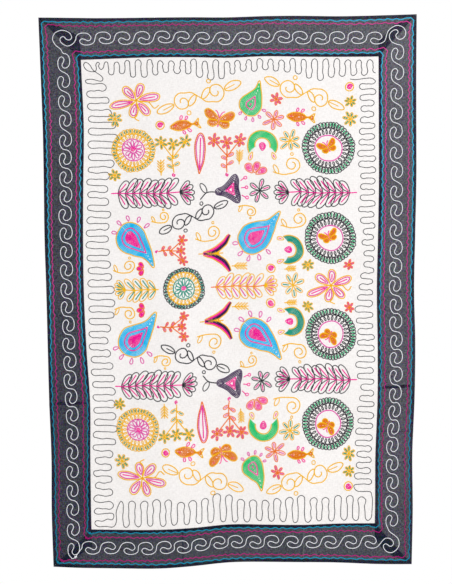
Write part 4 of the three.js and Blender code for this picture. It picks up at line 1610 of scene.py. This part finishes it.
class ClothSettings(bpy.types.PropertyGroup):
    """The cotton of the panel and the voile of the border."""
    panel_mesh: length_setting("Panel mesh", "Distance between the points of the panel", 0.0075)
    strip_mesh: length_setting("Strip mesh", "Distance between the points of the strips", 0.008)
    cotton_spacing: length_setting("Cotton weave", "From one thread to the next, as drawn", 0.0011)
    voile_spacing: length_setting("Voile weave", "From one thread to the next, as drawn", 0.0009)
    cotton_colour: colour_setting("Cotton", "Colour of the cream cotton", "#FAF7F6")
    cotton_shade: colour_setting("Cotton, duller", "Where the cotton is a little duller", "#F3EFED")
    cotton_yarns: share_setting("Cotton yarns", "How far the yarns of the cotton differ", 0.22)
    voile_colour: colour_setting("Voile", "Colour of the dark voile", "#121D2D")
    # The paler end of the voile's random mottle, which the strips' painted light also pushes towards.
    voile_worn: colour_setting("Voile, paler", "Where the voile is worn paler", "#423D50")
    speckle: share_setting("Voile speckle", "How far the yarn's dye varies", 0.9)
    grain: strips_setting("Voile grain", "How unevenly close the weave is", (0.9, 1.0, 1.0, 0.8))
    # Painted light: how far each strip as a whole is painted paler, most on the right and least at the
    # bottom.
    painted_light_per_strip: strips_setting("Wear", "How worn the voile is", (0.35, 0.55, 0.45, 0.2))
    # Painted shade: less light gets past at the bottom and the left, and a different amount on each strip.
    leaks_first: strips_setting("Sheerness at the top or left", "Light that gets past one layer there",
                                (0.051, 0.101, 0.052, 0.036))
    leaks_last: strips_setting("Sheerness at the bottom or right", "Light that gets past one layer there",
                               (0.020, 0.045, 0.092, 0.061))


class ThreadSettings(bpy.types.PropertyGroup):
    """The embroidery threads."""
    twist: length_setting("Twist", "From one twisted strand to the next, as drawn", 0.0008)
    # Painted shade in the grooves and painted highlight on the crowns, which the thread's uneven dye also
    # reaches.
    groove_shade_and_deep_dye: share_setting("Deepness", "Colour in the grooves, as a share of the thread's", 0.87)
    crown_highlight_and_pale_dye: share_setting("Paleness", "How far the crowns pale towards white", 0.012)
    white: colour_setting("White", "The running scroll of the border", "#F8FAFF")
    blue: colour_setting("Blue", "Wave lines of the border", "#009EC2")
    magenta: colour_setting("Magenta", "Wave lines of the border", "#C81688")
    charcoal: colour_setting("Charcoal", "The meander and some motifs", "#25262E")
    gold: colour_setting("Gold", "Outlines and twigs", "#FFC400")
    orange: colour_setting("Orange", "Sprigs and fronds", "#FA7C1A")
    rust: colour_setting("Rust", "Butterflies and fish", "#EE8206")
    hot_pink: colour_setting("Hot pink", "Knots, hearts and fillings", "#FF00A2")
    pink: colour_setting("Pink", "Linings and fillings", "#EC4EB4")
    sky: colour_setting("Sky blue", "Mangoes and fronds", "#00C6FA")
    green: colour_setting("Green", "Mangoes and crescents", "#00D078")
    mint: colour_setting("Mint", "Beads of the wheels", "#6CE0A6")
    teal: colour_setting("Teal", "Wheels, pods and fronds", "#009E88")
    purple: colour_setting("Purple", "Bells and pods", "#3A1250")
    seam: colour_setting("Sewing thread", "Hems, seams and mitres", "#15151E")


class StageSettings(bpy.types.PropertyGroup):
    """The floor, the light and the camera."""
    lens: FloatProperty(name="Focal length", description="Focal length of the camera in millimetres",
                        default=85.0, min=20.0)
    camera_place: FloatVectorProperty(name="Camera", description="Place of the camera", subtype="XYZ",
                                      unit="LENGTH", default=(-0.0041, -3.77, -0.752))
    sky_light: FloatProperty(name="Room light", description="Soft light from all round", default=0.49, min=0)
    key_power: FloatProperty(name="Main lamp", description="Power in watts", default=188.0, min=0)
    fill_power: FloatProperty(name="Second lamp", description="Power in watts", default=15.0, min=0)
    floor_colour: colour_setting("Floor", "Colour of the floor", "#ECEBE8")
    floor_shade: colour_setting("Floor, duller", "Where the floor is a little duller", "#E4E3E0")


# --- Making the pieces ----------------------------------------------------------------------------

STRIP_NAMES = {LEFT: "left", RIGHT: "right", TOP: "top", BOTTOM: "bottom"}
PANEL_THREADS = ("gold", "orange", "rust", "hot_pink", "pink", "sky", "green", "mint", "teal", "purple",
                 "charcoal")


def embroider(context, lines, faces, piece_names, dye=None):
    """One piece for each thread of the lines."""
    threads = context.scene.hanging_threads
    for thread, name in piece_names.items():
        # `dye`, where given, is painted light on the border's threads.
        mesh = stitch_mesh(name, [line for line in lines if line.thread == thread], faces, dye)
        spool = bpy.data.materials.get("stranded_thread_" + thread)
        spool = spool or stranded_thread(threads, thread, getattr(threads, thread))
        finished(name, mesh, [spool])


class HANGING_OT_panel(bpy.types.Operator):
    """Make the cream cotton panel"""
    bl_idname = "hanging.panel"
    bl_label = "Panel"

    def execute(self, context):
        cloth = context.scene.hanging_cloth
        mesh = panel_mesh(cloth.panel_mesh / MM)
        panel = finished("panel_cloth", mesh, [plain_cotton(cloth)])
        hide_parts("panel")
        return {"FINISHED"}


class HANGING_OT_strips(bpy.types.Operator):
    """Make the four voile strips of the border"""
    bl_idname = "hanging.strips"
    bl_label = "Voile Strips"

    def execute(self, context):
        cloth = context.scene.hanging_cloth
        for side, name in STRIP_NAMES.items():
            mesh = strip_mesh(side, "voile_" + name, cloth.strip_mesh / MM)
            voile = sheer_voile(cloth, side, "sheer_voile_" + name)
            strip = finished("voile_" + name, mesh, [voile])
            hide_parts("strip_" + name)
        return {"FINISHED"}


class HANGING_OT_seams(bpy.types.Operator):
    """Sew the hems, the seams and the mitres"""
    bl_idname = "hanging.seams"
    bl_label = "Seams and Hems"

    def execute(self, context):
        threads = context.scene.hanging_threads
        mesh = running_stitches("sewing_stitches", seam_paths())
        material = stranded_thread(threads, "seam", threads.seam)
        finished("sewing_stitches", mesh, [material])
        return {"FINISHED"}


class HANGING_OT_border_stitches(bpy.types.Operator):
    """Embroider the running scroll and the wave lines of the border"""
    bl_idname = "hanging.border_stitches"
    bl_label = "Border Embroidery"

    def execute(self, context):
        # The border's threads are painted paler towards the top right and deeper towards the bottom left, as
        # painted light.
        embroider(context, scroll_lines() + wave_lines(), strip_faces, {
            "white": "border_white", "blue": "border_blue", "magenta": "border_magenta"}, painted_light_on_border)
        return {"FINISHED"}


class HANGING_OT_meander(bpy.types.Operator):
    """Embroider the meander round the panel"""
    bl_idname = "hanging.meander"
    bl_label = "Meander"

    def execute(self, context):
        embroider(context, [meander_line()], panel_faces, {"charcoal": "embroidery_meander"})
        return {"FINISHED"}


class HANGING_OT_panel_stitches(bpy.types.Operator):
    """Embroider the motifs of the panel"""
    bl_idname = "hanging.panel_stitches"
    bl_label = "Panel Embroidery"

    def execute(self, context):
        names = {thread: "embroidery_" + thread for thread in PANEL_THREADS}
        embroider(context, panel_motifs(), panel_faces, names)
        return {"FINISHED"}


class HANGING_OT_stage(bpy.types.Operator):
    """Set up the floor, the light and the camera"""
    bl_idname = "hanging.stage"
    bl_label = "Stage"

    def execute(self, context):
        stage = context.scene.hanging_stage
        add_floor(stage)
        add_lamp("main_lamp", *MAIN_LAMP, stage.key_power)
        add_lamp("second_lamp", *SECOND_LAMP, stage.fill_power)
        light_room(context.scene, stage)
        add_camera(context.scene, stage)
        context.scene.view_settings.view_transform = "Standard"
        return {"FINISHED"}


HEM_MARGIN, SEAM_MARGIN = 1.2, 1.8  # from a line of sewing to the edge that it holds
MITRE_START, MITRE_GAP = (4, 7), 3  # mm in from the outer edges, and short of the seam


def seam_paths():
    """Lines of sewing: the hems, the edges of the strips at the seams, and the mitres."""
    hem = HEM - HEM_MARGIN
    (left, right), (top, bottom) = (hem - HALF_WIDTH, HALF_WIDTH - hem), (-hem, hem - CLOTH_HEIGHT)
    paths = [path((left, top), (right, top), (right, bottom), (left, bottom), (left, top))]
    for side in STRIP_NAMES:
        first, last = seam_ends(side)
        along = np.linspace(first, LENGTHS[side] - last, 100 if side in (TOP, BOTTOM) else 140)
        inset = read(STRIPS, side, along / LENGTHS[side]) - SEAM_MARGIN
        paths.append(np.column_stack(from_edge(side, along, inset)))
    for (side, level), (across, down) in CORNERS.items():
        paths.append(from_corner(side, level, (MITRE_START, (across - MITRE_GAP, down))))
    return paths


# The stage, in metres: the floor's half width, nearest, furthest and height, and for each lamp its
# place, the point that it faces and its size.
FLOOR = (1.6, -1.4, 1.1, -1.8)
MAIN_LAMP = ((3.6, -4.0, 0.75), (0.1, 0.0, -0.75), 2.1)
SECOND_LAMP = ((-2.2, -2.4, -0.6), (0.0, 0.0, -0.75), 1.6)


def add_floor(stage):
    """The pale floor that the hanging hangs above."""
    width, near, far, height = FLOOR
    mesh = bpy.data.meshes.new("floor")
    mesh.from_pydata([(-width, near, height), (width, near, height), (width, far, height),
                      (-width, far, height)], [], [(0, 1, 2, 3)])
    mesh.materials.append(matt_paint(stage))
    floor = bpy.data.objects.new("floor", mesh)
    bpy.context.scene.collection.objects.link(floor)


def add_lamp(name, place, target, size, power):
    """A square soft lamp that faces its target."""
    light = bpy.data.lights.new(name, "AREA")
    light.energy = power
    light.size = size
    lamp = bpy.data.objects.new(name, light)
    lamp.location = place
    lamp.rotation_euler = (Vector(target) - Vector(place)).to_track_quat("-Z", "Y").to_euler()
    bpy.context.scene.collection.objects.link(lamp)


def light_room(scene, stage):
    """Soft light from all round, and white where the room itself or its reflection is seen."""
    world = bpy.data.worlds.new("room")
    world.use_nodes = True
    tree = world.node_tree
    soft = tree.nodes["Background"]
    soft.inputs["Color"].default_value = (1, 1, 1, 1)
    soft.inputs["Strength"].default_value = stage.sky_light
    white = add_node(tree, "ShaderNodeBackground", {"Color": (1, 1, 1, 1), "Strength": 1.0})
    rays = add_node(tree, "ShaderNodeLightPath")
    seen = calculated(tree, "ADD", rays.outputs["Is Camera Ray"], rays.outputs["Is Glossy Ray"])
    seen = calculated(tree, "ADD", seen, rays.outputs["Is Transmission Ray"], use_clamp=True)
    mixed = add_node(tree, "ShaderNodeMixShader", {0: seen, 1: soft.outputs[0], 2: white.outputs[0]})
    tree.links.new(mixed.outputs[0], tree.nodes["World Output"].inputs["Surface"])
    scene.world = world


def add_camera(scene, stage):
    """The camera, level and straight in front of the hanging."""
    data = bpy.data.cameras.new("camera")
    data.lens = stage.lens
    data.sensor_width = 36.0
    data.clip_end = 50.0
    camera = bpy.data.objects.new("camera", data)
    camera.location = stage.camera_place
    camera.rotation_euler = (math.pi / 2, 0.0, 0.0)
    scene.collection.objects.link(camera)
    scene.camera = camera


# --- The add-on -----------------------------------------------------------------------------------

class HANGING_PT_pieces(bpy.types.Panel):
    """The hanging's pieces and their settings"""
    bl_idname = "HANGING_PT_pieces"
    bl_label = "Embroidered Wall Hanging"
    bl_space_type = "VIEW_3D"
    bl_region_type = "UI"
    bl_category = "Hanging"

    def draw(self, context):
        layout = self.layout
        for operator in OPERATORS:
            layout.operator(operator.bl_idname)
        for name, group in SETTINGS.items():
            box = layout.box()
            for setting in group.__annotations__:
                box.prop(getattr(context.scene, name), setting)


SETTINGS = {"hanging_cloth": ClothSettings, "hanging_threads": ThreadSettings,
            "hanging_stage": StageSettings}
OPERATORS = (HANGING_OT_panel, HANGING_OT_strips, HANGING_OT_seams, HANGING_OT_border_stitches,
             HANGING_OT_meander, HANGING_OT_panel_stitches, HANGING_OT_stage)


def register():
    """Add the settings, the operators and the panel."""
    for group in (*SETTINGS.values(), *OPERATORS, HANGING_PT_pieces):
        bpy.utils.register_class(group)
    for name, group in SETTINGS.items():
        setattr(bpy.types.Scene, name, PointerProperty(type=group))


def unregister():
    """Take them away again."""
    for name in SETTINGS:
        delattr(bpy.types.Scene, name)
    for group in (HANGING_PT_pieces, *reversed(OPERATORS), *reversed(SETTINGS.values())):
        bpy.utils.unregister_class(group)


def main():
    """Make the hanging and its stage."""
    register()
    for operator in OPERATORS:
        group, name = operator.bl_idname.split(".")
        getattr(getattr(bpy.ops, group), name)()


if __name__ == "__main__":
    main()
